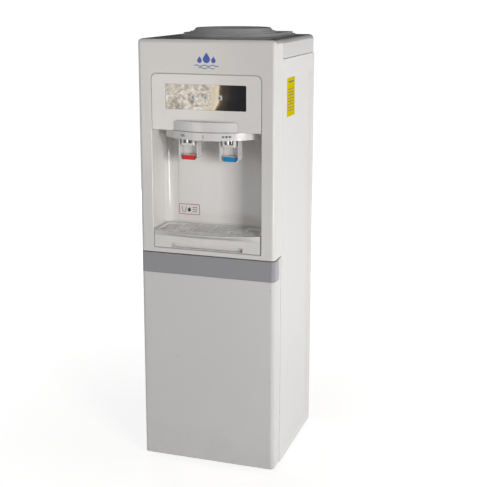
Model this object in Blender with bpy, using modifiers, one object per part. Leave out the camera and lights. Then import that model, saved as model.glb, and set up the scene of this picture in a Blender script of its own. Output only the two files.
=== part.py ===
"""Free-standing water cooler: a bottled-water dispenser with a hot and a cold tap.

Metres, +Z up. The front faces -Y, +X is on the right seen from the front, and the
origin is at the middle of the footprint, on the floor.
"""
import math

import bmesh
import bpy
from mathutils import Matrix, Vector

# Body
WIDTH = 0.310
BODY_DEPTH = 0.316
BODY_HEIGHT = 0.960
FOOT_HEIGHT = 0.005

# Fits and cutting
FIT = 0.0003
SEAM = 0.0012
SEAM_EASE = 0.0009
MOUTH_EASE = 0.0016
OVERRUN = 0.006
WELD = 0.00001

# Smoothness of curves, in steps
EDGE_STEPS = 4
ROUND_STEPS = 40
TANK_STEPS = 28
BORE_STEPS = 24
CORNER_STEPS = 6
SMALL_STEPS = 2
PIN_STEPS = 16
LAMP_STEPS = 12
FOOT_STEPS = 20
HUB_STEPS = 28
BOW_STEPS = 20
SMOOTH_DEGREES = 35
ALONG_SHARE = 0.5

# Front mouldings
PANEL_WALL = 0.0025
PANEL_RETURN = 0.052
PANEL_EDGE = 0.009
TOP_EDGE = 0.010
PANEL_MARGIN = 0.0318
SILL_HEIGHT = 0.0115

# Top cover
COVER_SKIRT = 0.0405
COVER_WALL = 0.0025

# Steel sheets
SHEET = 0.001
SHEET_FLANGE = 0.012
SHEET_EDGE = 0.002
FIELD_FRONT = 0.029
FIELD_REAR = 0.026
FIELD_FOOT = 0.030
FIELD_HEAD = 0.0355
FIELD_DEPTH = 0.0016
FIELD_SLOPE = 0.004
FIELD_CORNER = 0.012

# Fascia and alcove
INSERT_DROP = 0.0735
INSERT_CORNER = 0.012
FASCIA_HEIGHT = 0.1195
ALCOVE_HEIGHT = 0.2215
ALCOVE_DEPTH = 0.084
ALCOVE_CORNER = 0.018
BACK_PANEL_MARGIN = 0.0255
BACK_PANEL_EASE = 0.003
BACK_PANEL_SINK = 0.0009
LINER_WALL = 0.002
LINER_FLANGE = 0.004

# Display
WINDOW_WIDTH = 0.181
WINDOW_HEIGHT = 0.0535
WINDOW_DROP = 0.0475
WINDOW_CORNER = 0.0025
WINDOW_GLASS = 0.0016
WINDOW_SINK = 0.0004
LAMP_RADIUS = 0.0025
LAMP_SPACING = 0.030
BOARD_THICKNESS = 0.0016
BOARD_WIDTH = 0.090
BOARD_HEIGHT = 0.026

# Tap hood and visor
HOOD_WIDTH = 0.1440
HOOD_HEIGHT = 0.0205
HOOD_BOW = 0.0188
HOOD_STAND = 0.0012
HOOD_CORNER = 0.006
HOOD_WALL = 0.002
VISOR_RADIUS = 0.1287
VISOR_BOW = 0.0248
VISOR_WIDTH = 0.206
VISOR_HEIGHT = 0.0165
VISOR_WALL = 0.002
VISOR_BACK = 0.056
VISOR_TURN = 0.022

# Taps
TAP_SPACING = 0.0936
NOZZLE_SETBACK = 0.0248
NOZZLE_RADIUS = 0.0092
NOZZLE_BORE = 0.0045
COLLAR_WIDTH = 0.031
COLLAR_DEPTH = 0.0225
COLLAR_DROP = 0.0340
COLLAR_RIM = 0.0045
COLLAR_WINDOW = 0.0205
COLLAR_CORNER = 0.004
COLLAR_PLAY = 0.0006
VALVE_WIDTH = 0.029
VALVE_HEIGHT = 0.032
VALVE_BACK = 0.006
VALVE_FOOT_WIDTH = 0.048
VALVE_FOOT_DEPTH = 0.0125
VALVE_FOOT = 0.0025
SPOUT_RADIUS = 0.0060
TAP_PORT_RADIUS = 0.0055
TAP_PORT_REACH = 0.016
TAP_PORT_SHARE = 0.7
NOZZLE_GROOVE_SHARE = 0.12
NOZZLE_STEP_SHARE = 0.62

# Push levers
LEVER_WIDTH = 0.0435
LEVER_DROP = 0.067
LEVER_WALL = 0.002
LEVER_DEPTH = 0.0218
LEVER_SETBACK = 0.0172
LEVER_CORNER = 0.008
LEVER_EAR_RISE = 0.016
LEVER_EAR_DEPTH = 0.011
EAR_ROUND_SHARE = 0.4
BADGE_WIDTH = 0.0295
BADGE_HEIGHT = 0.0100
BADGE_THICKNESS = 0.0015
BADGE_PAD = 0.0130
LEVER_PIN_RADIUS = 0.0015
SPRING_WIRE = 0.0005
SPRING_PLAY = 0.0003
SPRING_PITCH = 0.00105
SPRING_TURNS = 3
SPRING_TURN_STEPS = 10
MOUTH_CLEARANCE = 0.0028

# Drip tray and grille
TRAY_HEIGHT = 0.0400
TRAY_SIDE_GAP = 0.0010
TRAY_WALL = 0.002
TRAY_DEEP = 0.024
LIP_BOW = 0.0275
LIP_UNDER_BOW = 0.0130
LIP_HEIGHT = 0.0100
LIP_BLEND = 0.0050
SLOT_WIDTH = 0.165
SLOT_HEIGHT = 0.0096
SLOT_DEPTH = 0.010
SLOT_LEDGE = 0.0010
LIP_START_SHARE = 0.12
LIP_ROLL_SHARE = 0.25
GRILLE_BOW_SHARE = 0.8
GRILLE_SIDE_SHARE = 1.6
GRILLE_THICKNESS = 0.003
GRILLE_SINK = 0.0012
GRILLE_RIM = 0.007
GRILLE_SLOT = 0.0036
GRILLE_BAR = 0.0030
GRILLE_RIB = 0.0040
GRILLE_BAYS = 6
DRAIN_HOLE_RADIUS = 0.0065

# Cabinet door
DOOR_GAP = 0.0025
DOOR_RETURN = 0.050
DOOR_WALL = 0.0028
DOOR_FLANGE = 0.003
DOOR_FLOOR_GAP = 0.0052
BAND_HEIGHT = 0.0450
BAND_RETURN = 0.035
BAND_WALL = 0.0020
BAND_BACKING = 0.0030
HINGE_INSET = 0.009
HINGE_PIN_RADIUS = 0.003
HINGE_PIN_LENGTH = 0.014
HINGE_PLATE = 0.002
HINGE_PLATE_WIDTH = 0.026
HINGE_PLATE_REACH = 0.020
HINGE_CLEARANCE = 0.0004
HINGE_CURL_SHARE = 0.35
DOOR_RIB_INSET = 0.018
POLE_WIDTH_SHARE = 0.4
POLE_SHARES = (0.45, 0.85)
DOOR_BACK_WALL = 0.002
DOOR_BACK_SINK = 0.0015
DOOR_RIB = 0.0016
DOOR_RIB_DEPTH = 0.006
CATCH_WIDTH = 0.034
CATCH_HEIGHT = 0.012
CATCH_DEPTH = 0.026
STRIKE_THICKNESS = 0.0015
STRIKE_HEIGHT = 0.010

# Cabinet inside
SHELF_THICKNESS = 0.0012
CABINET_WALL = 0.002
CABINET_SIDE_GAP = 0.0150
CABINET_REAR_GAP = 0.020
CABINET_FRONT_GAP = 0.0023
BASE_LIP = 0.014

# Feet
PAD_RADIUS = 0.014
STEM_RADIUS = 0.004
STEM_HEIGHT = 0.008
FOOT_INSET = 0.028
PAD_EDGE_SHARE = 0.12
PAD_TOP_SHARE = 0.8

# Bottle seat and spike
SEAT_SETBACK_SHARE = 0.584
SEAT_RADIUS = 0.112
SEAT_BACK = 0.1085
SEAT_CORNER = 0.014
SEAT_APRON = 0.005
SEAT_STEP_LOW = 0.0030
SEAT_STEP_HIGH = 0.0040
SEAT_STEP_ROUND = 0.0036
SEAT_RING_HEIGHT = 0.0074
SEAT_ROUND_RADIUS = 0.0970
SEAT_RING_BASE = 0.0902
SEAT_RING_TOP = 0.0846
SEAT_RING_WALL = 0.0040
SEAT_CONE_RADIUS = 0.0740
SEAT_WALL = 0.0030
SEAT_CONE_DEPTH = 0.045
SEAT_NECK_RADIUS = 0.0315
SEAT_NECK_DEPTH = 0.022
SEAT_LEDGE = 0.0045
SPIKE_RADIUS = 0.0065
SPIKE_WALL = 0.0020
SPIKE_HEIGHT = 0.062
SPIKE_TIP = 0.012
SPIKE_FLANGE = 0.0025
SPIKE_WINDOW_HEIGHT = 0.009
SPIKE_WINDOW_WIDTH = 0.0045
SPIKE_POINT_SHARE = 0.25

# Cold side
COLD_TANK_SHARE = 0.18
COLD_TANK_HEIGHT = 0.118
TANK_WALL = 0.0012
TANK_SHOULDER = 0.010
TANK_MOUTH = 0.024
FAN_SIZE = 0.092
FAN_DEPTH = 0.025
FAN_BORE = 0.0435
FAN_CORNER = 0.005
FAN_REAR_GAP = 0.0025
FAN_HUB_RADIUS = 0.018
FAN_HUB_DEPTH = 0.019
FAN_TIP_GAP = 0.0020
FAN_BLADES = 7
FAN_BLADE_THICKNESS = 0.0016
FAN_BLADE_TWIST = 40
FAN_SPIDER = 0.004
FAN_SPINDLE_RADIUS = 0.0020
FAN_SPINDLE_SHARE = 0.6
FAN_MOTOR_SHARE = 0.8
FAN_ROOT_SHARE = 0.9
FAN_CHORD_SHARE = 0.95
FAN_EASE = 12
FAN_REACH_LIMIT = 0.6
FAN_DEPTH_SHARE = 0.8
FAN_STATIONS = 4
SINK_BASE = 0.005
SINK_DEPTH_SHARE = 0.05
SINK_FINS = 14
SINK_FIN_SHARE = 0.28
MODULE_SIZE = 0.040
MODULE_THICKNESS = 0.0038
BLOCK_SIZE = 0.050

# Hot side
HOT_TANK_RADIUS = 0.045
HOT_TANK_HEIGHT = 0.130
HOT_TANK_PORT = 0.004
HEATER_BAND_HEIGHT = 0.040
HEATER_BAND_WALL = 0.0018
HEATER_RISE_SHARE = 0.45
STAND_HEIGHT = 0.012
STAND_WALL = 0.003

# Hoses and drain
HOSE_RADIUS = 0.0045
HOSE_STEPS = 5
HOSE_LEAD = 0.0135
COLD_BEND_SHARE = 0.7
COLD_END_SHARE = 0.45
COLD_DIP_SHARE = 1.8
HOT_BEND_SHARE = 1.3
HOT_SIDE_SHARE = 1.35
HOT_TURN_SHARE = 0.6
HOT_END_SHARE = 0.35
HOT_RISE_SHARE = 1.2
HOT_FALL_SHARE = 0.8
DRAIN_BEND_SHARE = 2.5
DRAIN_SIDE_SHARE = 2.2
DRAIN_RADIUS = 0.0070
DRAIN_BORE = 0.0040
DRAIN_FLANGE = 0.012
DRAIN_FLANGE_THICKNESS = 0.002
DRAIN_RISE = 0.026
DRAIN_SIDE = 0.050
DRAIN_REACH = 0.014
CAP_RADIUS = 0.0105
CAP_WALL = 0.0018
CAP_RIBS = 12
CAP_FLUTE = 0.0008

# Rear panel
VENT_SLOT = 0.0030
VENT_PITCH = 0.0070
VENT_WIDTH = 0.080
VENT_ROWS = 11
INTAKE_ROWS = 7
INTAKE_RISE = 0.090
INTAKE_SIDE_SHARE = 0.6
INTAKE_WIDTH_SHARE = 0.9
VENT_EASE_SHARE = 0.35

# Rear switches
SWITCH_WIDTH = 0.0125
SWITCH_HEIGHT = 0.0195
SWITCH_SPACING = 0.020
SWITCH_INSET = 0.070
SWITCH_DROP = 0.235
SWITCH_TILT = 8
SWITCH_BODY = 0.010
BEZEL_RIM = 0.0030
BEZEL_THICKNESS = 0.0018
SWITCH_GAP = 0.0005
ROCKER_PIVOT_SHARE = 0.3
ROCKER_BACK_SHARE = 0.25
ROCKER_NARROW_SHARE = 0.45
ROCKER_FACE_SHARE = 0.93

# Cord gland
GLAND_RADIUS = 0.0080
GLAND_BORE = 0.0045
GLAND_FLANGE = 0.0110
GLAND_REACH = 0.004
GLAND_RISE = 0.020
GLAND_INSET = 0.055

# Power supply
SUPPLY_SIZE = (0.052, 0.080, 0.040)
SUPPLY_INSET = 0.060

# Planes that the pieces share
TOTAL_DEPTH = LIP_BOW + BODY_DEPTH + DRAIN_REACH
FRONT = LIP_BOW - TOTAL_DEPTH / 2
REAR = FRONT + BODY_DEPTH
SIDE = WIDTH / 2
BACK_OF_PANEL = FRONT + PANEL_RETURN
SHEET_FRONT = BACK_OF_PANEL + SEAM
COVER_SEAM = BODY_HEIGHT - COVER_SKIRT
INSERT_TOP = BODY_HEIGHT - INSERT_DROP
ALCOVE_TOP = INSERT_TOP - FASCIA_HEIGHT
TRAY_TOP = ALCOVE_TOP - ALCOVE_HEIGHT
TRAY_BOTTOM = TRAY_TOP - TRAY_HEIGHT
PANEL_BOTTOM = TRAY_BOTTOM - SILL_HEIGHT
DOOR_TOP = PANEL_BOTTOM - DOOR_GAP
INSERT_HALF = SIDE - PANEL_MARGIN
ALCOVE_BACK = FRONT + ALCOVE_DEPTH
BASE_TOP = FOOT_HEIGHT + SHEET
DOOR_BOTTOM = FOOT_HEIGHT + DOOR_FLOOR_GAP
BAND_BOTTOM = DOOR_TOP - BAND_HEIGHT
SEAT_Y = FRONT + BODY_DEPTH * SEAT_SETBACK_SHARE
COLD_TANK_RADIUS = BODY_DEPTH * COLD_TANK_SHARE
SINK_FIN_DEPTH = BODY_DEPTH * SINK_DEPTH_SHARE
SEAT_BOTTOM = BODY_HEIGHT - SEAT_CONE_DEPTH - SEAT_NECK_DEPTH
SEAT_NECK_OUTER = SEAT_NECK_RADIUS + SEAT_WALL
COLD_TANK_TOP = SEAT_BOTTOM - FIT
COLD_TANK_BOTTOM = COLD_TANK_TOP - COLD_TANK_HEIGHT
SHELF_BOTTOM = PANEL_BOTTOM + HINGE_PLATE + FIT
SHELF_TOP = SHELF_BOTTOM + SHELF_THICKNESS
TAP_XS = {"hot": -TAP_SPACING / 2, "cold": TAP_SPACING / 2}
NOZZLE_Y = FRONT + NOZZLE_SETBACK
LEVER_Y = FRONT + LEVER_SETBACK
LEVER_BACK = LEVER_Y + LEVER_DEPTH
LEVER_BOTTOM = ALCOVE_TOP - LEVER_DROP
COLLAR_FRONT = NOZZLE_Y - COLLAR_DEPTH / 2
COLLAR_BACK = NOZZLE_Y + COLLAR_DEPTH / 2
COLLAR_BOTTOM = ALCOVE_TOP - COLLAR_DROP
PIVOT_Y = LEVER_BACK - LEVER_EAR_DEPTH / 2
PIVOT_Z = ALCOVE_TOP + LINER_WALL + LEVER_EAR_RISE / 2
HINGE_X = HINGE_INSET - SIDE
HINGE_Y = FRONT + DOOR_RETURN - HINGE_INSET
DRAIN_Z = SHELF_TOP + DRAIN_RISE
SWITCH_Z = COVER_SEAM - SWITCH_DROP
SWITCH_SIDE = SIDE - SWITCH_INSET
GLAND_SIDE = SIDE - GLAND_INSET
SUPPLY_SIDE = SIDE - SUPPLY_INSET
FAN_Z = COLD_TANK_TOP - COLD_TANK_HEIGHT / 2
REAR_SKIN = REAR - SHEET

PARTS = None
CUTTERS = None

# Colour, roughness and metallic value of each finish
FINISHES = {
    "white_moulding": ((0.82, 0.82, 0.82), 0.30, 0.0),
    "white_steel": ((0.84, 0.85, 0.86), 0.28, 0.0),
    "grey_moulding": ((0.24, 0.25, 0.27), 0.45, 0.0),
    "grey_band": ((0.25, 0.26, 0.28), 0.38, 0.2),
    "smoked": ((0.03, 0.03, 0.03), 0.05, 0.6),
    "chrome": ((0.80, 0.80, 0.82), 0.12, 1.0),
    "red": ((0.70, 0.05, 0.05), 0.35, 0.0),
    "blue": ((0.02, 0.23, 0.48), 0.35, 0.0),
    "stainless": ((0.55, 0.56, 0.58), 0.30, 1.0),
    "zinc": ((0.45, 0.46, 0.48), 0.45, 0.9),
    "aluminium": ((0.60, 0.61, 0.62), 0.35, 1.0),
    "black": ((0.02, 0.02, 0.02), 0.55, 0.0),
    "rubber": ((0.03, 0.03, 0.03), 0.80, 0.0),
    "green_board": ((0.03, 0.16, 0.07), 0.50, 0.0),
    "clear_hose": ((0.75, 0.78, 0.80), 0.35, 0.0),
    "liner": ((0.72, 0.72, 0.71), 0.45, 0.0),
    "ceramic": ((0.86, 0.86, 0.84), 0.60, 0.0),
}


def clear_scene():
    """Empty the file and make the two collections."""
    global PARTS, CUTTERS
    for ob in list(bpy.data.objects):
        bpy.data.objects.remove(ob, do_unlink=True)
    PARTS = bpy.data.collections.new("water_cooler")
    CUTTERS = bpy.data.collections.new("cutters")
    for group in (PARTS, CUTTERS):
        bpy.context.scene.collection.children.link(group)


def principled(name, finish):
    """A plain Principled material with the finish's values."""
    colour, roughness, metallic = FINISHES[finish]
    material = bpy.data.materials.new(name)
    material.use_nodes = True
    shader = material.node_tree.nodes["Principled BSDF"]
    shader.inputs["Base Color"].default_value = (*colour, 1.0)
    shader.inputs["Roughness"].default_value = roughness
    shader.inputs["Metallic"].default_value = metallic
    material.diffuse_color = (*colour, 1.0)
    return material


def settled(ob):
    """Turn a curve or a piece with modifiers into one clean, closed mesh."""
    bpy.context.view_layer.update()
    source = ob.evaluated_get(bpy.context.evaluated_depsgraph_get())
    mesh = bpy.data.meshes.new_from_object(source)
    mesh.transform(ob.matrix_world)
    name = ob.name
    bpy.data.objects.remove(ob, do_unlink=True)
    work = bmesh.new()
    work.from_mesh(mesh)
    bmesh.ops.remove_doubles(work, verts=work.verts, dist=WELD)
    bmesh.ops.recalc_face_normals(work, faces=work.faces)
    work.to_mesh(mesh)
    work.free()
    return placed(name, mesh)


def placed(name, mesh):
    """An object for a mesh, kept with the cutters until it is made a part."""
    ob = bpy.data.objects.new(name, mesh)
    CUTTERS.objects.link(ob)
    ob.hide_render = True
    ob.display_type = "WIRE"
    return ob


def part(ob, name, finish):
    """Make a finished solid one of the cooler's parts."""
    CUTTERS.objects.unlink(ob)
    PARTS.objects.link(ob)
    ob.name = name
    ob.data.name = name
    ob.hide_render = False
    ob.display_type = "TEXTURED"
    ob.data.materials.clear()
    ob.data.materials.append(principled(name + "_finish", finish))
    ob.data.shade_smooth()
    ob.data.set_sharp_from_angle(angle=math.radians(SMOOTH_DEGREES))
    return ob


def boolean(target, tool, operation):
    """Add one exact Boolean step to a solid."""
    step = target.modifiers.new(operation.lower(), "BOOLEAN")
    step.operation = operation
    step.solver = "EXACT"
    step.object = tool
    return target


def cut(target, *tools):
    """Take each tool away from the target."""
    for tool in tools:
        boolean(target, tool, "DIFFERENCE")
    return target


def fuse(target, *tools):
    """Join each tool to the target."""
    for tool in tools:
        boolean(target, tool, "UNION")
    return target


def box(low, high, name="box"):
    """A box between two corners, from the cube primitive."""
    bpy.ops.mesh.primitive_cube_add(size=1.0)
    ob = bpy.context.object
    ob.name = name
    low, high = Vector(low), Vector(high)
    span = high - low
    place = Matrix.Translation((low + high) / 2) @ Matrix.Diagonal((*span, 1.0))
    ob.data.transform(place)
    for group in list(ob.users_collection):
        group.objects.unlink(ob)
    CUTTERS.objects.link(ob)
    ob.hide_render = True
    ob.display_type = "WIRE"
    return ob


def round_edges(ob, radius, wanted, steps=EDGE_STEPS):
    """Round the edges of a box whose middle and direction the test accepts."""
    work = bmesh.new()
    work.from_mesh(ob.data)
    picked = []
    for edge in work.edges:
        ends = [v.co for v in edge.verts]
        middle = (ends[0] + ends[1]) / 2
        run = (ends[1] - ends[0]).normalized()
        if wanted(middle, run):
            picked.append(edge)
    bmesh.ops.bevel(work, geom=picked, offset=radius, segments=steps, profile=0.5, affect="EDGES")
    work.to_mesh(ob.data)
    work.free()
    return ob


def rounded(corners, radii, steps=EDGE_STEPS):
    """The outline through the corners with each one filleted to its radius."""
    if not hasattr(radii, "__len__"):
        radii = [radii] * len(corners)
    outline = []
    count = len(corners)
    for index, (corner, radius) in enumerate(zip(corners, radii)):
        here = Vector(corner)
        before = (Vector(corners[index - 1]) - here).normalized()
        after = (Vector(corners[(index + 1) % count]) - here).normalized()
        if radius <= 0:
            outline.append(tuple(here))
            continue
        half = before.angle(after) / 2
        reach = radius / math.tan(half)
        centre = here + (before + after).normalized() * (radius / math.sin(half))
        first = here + before * reach - centre
        last = here + after * reach - centre
        sweep = first.angle_signed(last)
        for step in range(steps + 1):
            turn = -sweep * step / steps
            outline.append(tuple(centre + Matrix.Rotation(turn, 2) @ first))
    return outline


def rectangle(x0, y0, x1, y1, radii=0, steps=EDGE_STEPS):
    """A rectangle with rounded corners, anticlockwise from its low corner."""
    return rounded([(x0, y0), (x1, y0), (x1, y1), (x0, y1)], radii, steps)


def ring_points(centre, radius, steps=ROUND_STEPS):
    """Points round a circle."""
    turns = [2 * math.pi * step / steps for step in range(steps)]
    return [(centre[0] + radius * math.cos(t), centre[1] + radius * math.sin(t)) for t in turns]


def bow(half_width, ends_y, rise, steps=BOW_STEPS):
    """An arc from left to right whose middle stands `rise` in front of its ends."""
    radius = (half_width ** 2 + rise ** 2) / (2 * rise)
    centre_y = ends_y - rise + radius
    reach = math.asin(half_width / radius)
    turns = [reach * (2 * step / steps - 1) for step in range(steps + 1)]
    return [(radius * math.sin(t), centre_y - radius * math.cos(t)) for t in turns]


def along(axis):
    """The rotation that takes a flat outline and its normal to an axis."""
    if axis == "X":
        return Matrix(((0, 0, 1, 0), (1, 0, 0, 0), (0, 1, 0, 0), (0, 0, 0, 1)))
    if axis == "Y":
        return Matrix(((1, 0, 0, 0), (0, 0, -1, 0), (0, 1, 0, 0), (0, 0, 0, 1)))
    return Matrix.Identity(4)


def prism(outline, low, high, axis="Z", holes=(), name="prism"):
    """A flat outline, with any holes, given thickness along an axis."""
    curve = bpy.data.curves.new(name, "CURVE")
    curve.dimensions = "2D"
    curve.fill_mode = "BOTH"
    curve.extrude = (high - low) / 2
    for loop in (outline, *holes):
        spline = curve.splines.new("POLY")
        spline.points.add(len(loop) - 1)
        for point, (u, v) in zip(spline.points, loop):
            point.co = (u, v, 0.0, 1.0)
        spline.use_cyclic_u = True
    ob = bpy.data.objects.new(name, curve)
    CUTTERS.objects.link(ob)
    middle = (low + high) / 2
    shift = {"X": (middle, 0, 0), "Y": (0, middle, 0), "Z": (0, 0, middle)}[axis]
    ob.matrix_world = Matrix.Translation(shift) @ along(axis)
    return settled(ob)


def turned(profile, centre, axis="Z", steps=ROUND_STEPS, closed=False, name="turned"):
    """A profile of (radius, height) pairs swept round an axis with the Screw modifier."""
    mesh = bpy.data.meshes.new(name)
    verts = [(radius, 0.0, height) for radius, height in profile]
    edges = [(i, i + 1) for i in range(len(verts) - 1)]
    if closed:
        edges.append((len(verts) - 1, 0))
    mesh.from_pydata(verts, edges, [])
    ob = bpy.data.objects.new(name, mesh)
    CUTTERS.objects.link(ob)
    screw = ob.modifiers.new("screw", "SCREW")
    screw.axis = "Z"
    screw.steps = steps
    screw.render_steps = steps
    screw.use_merge_vertices = True
    screw.merge_threshold = WELD
    ob.matrix_world = Matrix.Translation(centre) @ along(axis)
    return settled(ob)


def disc(centre, radius, low, high, axis="Z", steps=ROUND_STEPS, name="disc"):
    """A plain round bar or hole between two heights along an axis."""
    profile = [(0, high), (radius, high), (radius, low), (0, low)]
    return turned(profile, centre, axis, steps, name=name)


def loft(rings, name="loft"):
    """A solid through rings of equally many points, closed at both ends."""
    work = bmesh.new()
    rows = [[work.verts.new(point) for point in ring] for ring in rings]
    count = len(rows[0])
    for lower, upper in zip(rows, rows[1:]):
        for i in range(count):
            j = (i + 1) % count
            work.faces.new((lower[i], lower[j], upper[j], upper[i]))
    work.faces.new(list(reversed(rows[0])))
    work.faces.new(rows[-1])
    bmesh.ops.recalc_face_normals(work, faces=work.faces)
    mesh = bpy.data.meshes.new(name)
    work.to_mesh(mesh)
    work.free()
    return placed(name, mesh)


def smooth_route(knots, steps=HOSE_STEPS):
    """Points on one smooth curve through the knots, with a straight run at each end."""
    points = [Vector(k) for k in knots]
    route = [points[0]]
    for i in range(1, len(points) - 2):
        a, b, c, d = points[i - 1:i + 3]
        for step in range(steps):
            t = step / steps
            even = 2 * b + (c - a) * t
            bend = (2 * a - 5 * b + 4 * c - d) * t ** 2 + (3 * b - a - 3 * c + d) * t ** 3
            route.append((even + bend) / 2)
    return route + points[-2:]


def tube(points, radius, name, finish, resolution=1):
    """A round tube along points, as a curve with filled caps."""
    curve = bpy.data.curves.new(name, "CURVE")
    curve.dimensions = "3D"
    curve.bevel_depth = radius
    curve.bevel_resolution = resolution
    curve.use_fill_caps = True
    spline = curve.splines.new("POLY")
    spline.points.add(len(points) - 1)
    for point, place in zip(spline.points, points):
        point.co = (*place, 1.0)
    ob = bpy.data.objects.new(name, curve)
    PARTS.objects.link(ob)
    curve.materials.append(principled(name + "_finish", finish))
    return ob


def joint(name, place, *obs):
    """An empty on a joint's axis, with the pieces that move on it as its children."""
    empty = bpy.data.objects.new(name, None)
    empty.empty_display_size = PAD_RADIUS
    empty.location = place
    PARTS.objects.link(empty)
    bpy.context.view_layer.update()
    for ob in obs:
        ob.parent = empty
        ob.matrix_parent_inverse = empty.matrix_world.inverted()
    return empty


# Casing

def make_base_pan():
    """Steel pan under the body, upturned at the sides and back, with a hole for each foot."""
    half = SIDE - SHEET * 2 - FIT
    low = (-half, SHEET_FRONT + SHEET + FIT, FOOT_HEIGHT)
    high = (half, REAR_SKIN - SHEET - FIT * 2, FOOT_HEIGHT + BASE_LIP)
    pan = box(low, high)
    well = box((low[0] + SHEET, low[1] - OVERRUN, BASE_TOP),
               (high[0] - SHEET, high[1] - SHEET, high[2] + OVERRUN))
    holes = [disc((x, y, 0), STEM_RADIUS + FIT, 0, BASE_TOP + OVERRUN, steps=PIN_STEPS)
             for x, y in foot_places().values()]
    part(cut(pan, well, *holes), "base_pan", "zinc")


def foot_places():
    """Where the four feet stand, by name."""
    x = SIDE - FOOT_INSET
    front = SHEET_FRONT + FOOT_INSET
    rear = REAR - FOOT_INSET
    return {"front_left": (-x, front), "front_right": (x, front),
            "rear_left": (-x, rear), "rear_right": (x, rear)}


def make_feet():
    """Four levelling feet: a rounded pad with a stem through the pan."""
    top = FOOT_HEIGHT - FIT
    edge = PAD_RADIUS * PAD_EDGE_SHARE
    profile = [(0, BASE_TOP + STEM_HEIGHT), (STEM_RADIUS, BASE_TOP + STEM_HEIGHT),
               (STEM_RADIUS, top), (PAD_RADIUS * PAD_TOP_SHARE, top), (PAD_RADIUS, top - edge),
               (PAD_RADIUS, edge), (PAD_RADIUS - edge, 0), (0, 0)]
    for name, (x, y) in foot_places().items():
        part(turned(profile, (x, y, 0), steps=FOOT_STEPS), "foot_" + name, "rubber")


def field_ring(side, depth, inset):
    """The outline of a side panel's pressed field at one depth, on one side."""
    outline = rectangle(SHEET_FRONT + FIELD_FRONT + inset, FOOT_HEIGHT + FIELD_FOOT + inset,
                        REAR - FIELD_REAR - inset, COVER_SEAM - FIELD_HEAD - inset, FIELD_CORNER)
    return [(side * (SIDE - depth), y, z) for y, z in outline]


def make_side_panel(name, side):
    """Painted steel side with turned-in flanges and a pressed, sunk field."""
    inner = SIDE - SHEET
    start = SHEET_FRONT
    end = REAR_SKIN - FIT
    lip = SIDE - SHEET_FLANGE
    plan = rounded([(side * lip, start), (side * SIDE, start), (side * SIDE, end),
                    (side * lip, end), (side * lip, end - SHEET), (side * inner, end - SHEET),
                    (side * inner, start + SHEET), (side * lip, start + SHEET)],
                   [0, SHEET_EDGE, SHEET_EDGE, 0, 0, SHEET_EDGE - SHEET, SHEET_EDGE - SHEET, 0])
    panel = prism(plan, FOOT_HEIGHT, COVER_SEAM - SEAM)
    back = FIELD_DEPTH + SHEET
    swell = loft([field_ring(side, SHEET / 2, -SHEET), field_ring(side, SHEET, -SHEET),
                  field_ring(side, back, FIELD_SLOPE - SHEET)])
    press = loft([field_ring(side, -OVERRUN, 0), field_ring(side, 0, 0),
                  field_ring(side, FIELD_DEPTH, FIELD_SLOPE)])
    part(cut(fuse(panel, swell), press), name, "white_steel")


def slot_outline(x, z, length, height):
    """A slot with eased ends."""
    return rectangle(x - length / 2, z - height / 2, x + length / 2, z + height / 2,
                     height * VENT_EASE_SHARE, 1)


def make_rear_panel():
    """Steel back with fan vents, intake slots and holes for what passes through it."""
    half = SIDE - FIT
    slots = []
    for row in range(VENT_ROWS):
        z = FAN_Z + (row - (VENT_ROWS - 1) / 2) * VENT_PITCH
        slots.append(slot_outline(0, z, VENT_WIDTH, VENT_SLOT))
    for row in range(INTAKE_ROWS):
        z = SHELF_TOP + INTAKE_RISE + row * VENT_PITCH
        for side in (-1, 1):
            slots.append(slot_outline(side * VENT_WIDTH * INTAKE_SIDE_SHARE, z,
                                      VENT_WIDTH * INTAKE_WIDTH_SHARE, VENT_SLOT))
    well = switch_well(FIT)
    slots.append(rectangle(*well))
    slots.append(ring_points((-DRAIN_SIDE, DRAIN_Z), DRAIN_RADIUS + FIT, BORE_STEPS))
    slots.append(ring_points((-GLAND_SIDE, SHELF_TOP + GLAND_RISE), GLAND_RADIUS + FIT, BORE_STEPS))
    sheet = rectangle(-half, FOOT_HEIGHT, half, COVER_SEAM - SEAM, SHEET_EDGE)
    part(prism(sheet, REAR_SKIN, REAR, "Y", slots), "rear_panel", "white_steel")


def make_top_cover():
    """Moulded cover with a skirt round the sides and back, and the bottle seat's hole."""
    def outer_edges(middle, run):
        on_top = middle.z > COVER_SEAM + COVER_SKIRT / 2 and abs(run.z) < ALONG_SHARE
        at_rear = middle.y > (SHEET_FRONT + REAR) / 2
        side_run = abs(run.y) > ALONG_SHARE
        upright = abs(run.z) > ALONG_SHARE
        return (on_top and (at_rear or side_run)) or (upright and at_rear)
    shell = box((-SIDE, BACK_OF_PANEL + SEAM, COVER_SEAM), (SIDE, REAR, BODY_HEIGHT))
    round_edges(shell, TOP_EDGE, outer_edges)
    room = box((COVER_WALL - SIDE, SHEET_FRONT - OVERRUN, COVER_SEAM - OVERRUN),
               (SIDE - COVER_WALL, REAR - COVER_WALL, BODY_HEIGHT - COVER_WALL))
    round_edges(room, TOP_EDGE - COVER_WALL,
                lambda m, r: outer_edges(m, r) and m.z > COVER_SEAM - OVERRUN)
    hole = disc((0, SEAT_Y, 0), SEAT_CONE_RADIUS + FIT * 2, COVER_SEAM, BODY_HEIGHT + OVERRUN)
    part(cut(shell, room, hole), "top_cover", "white_moulding")


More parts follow.
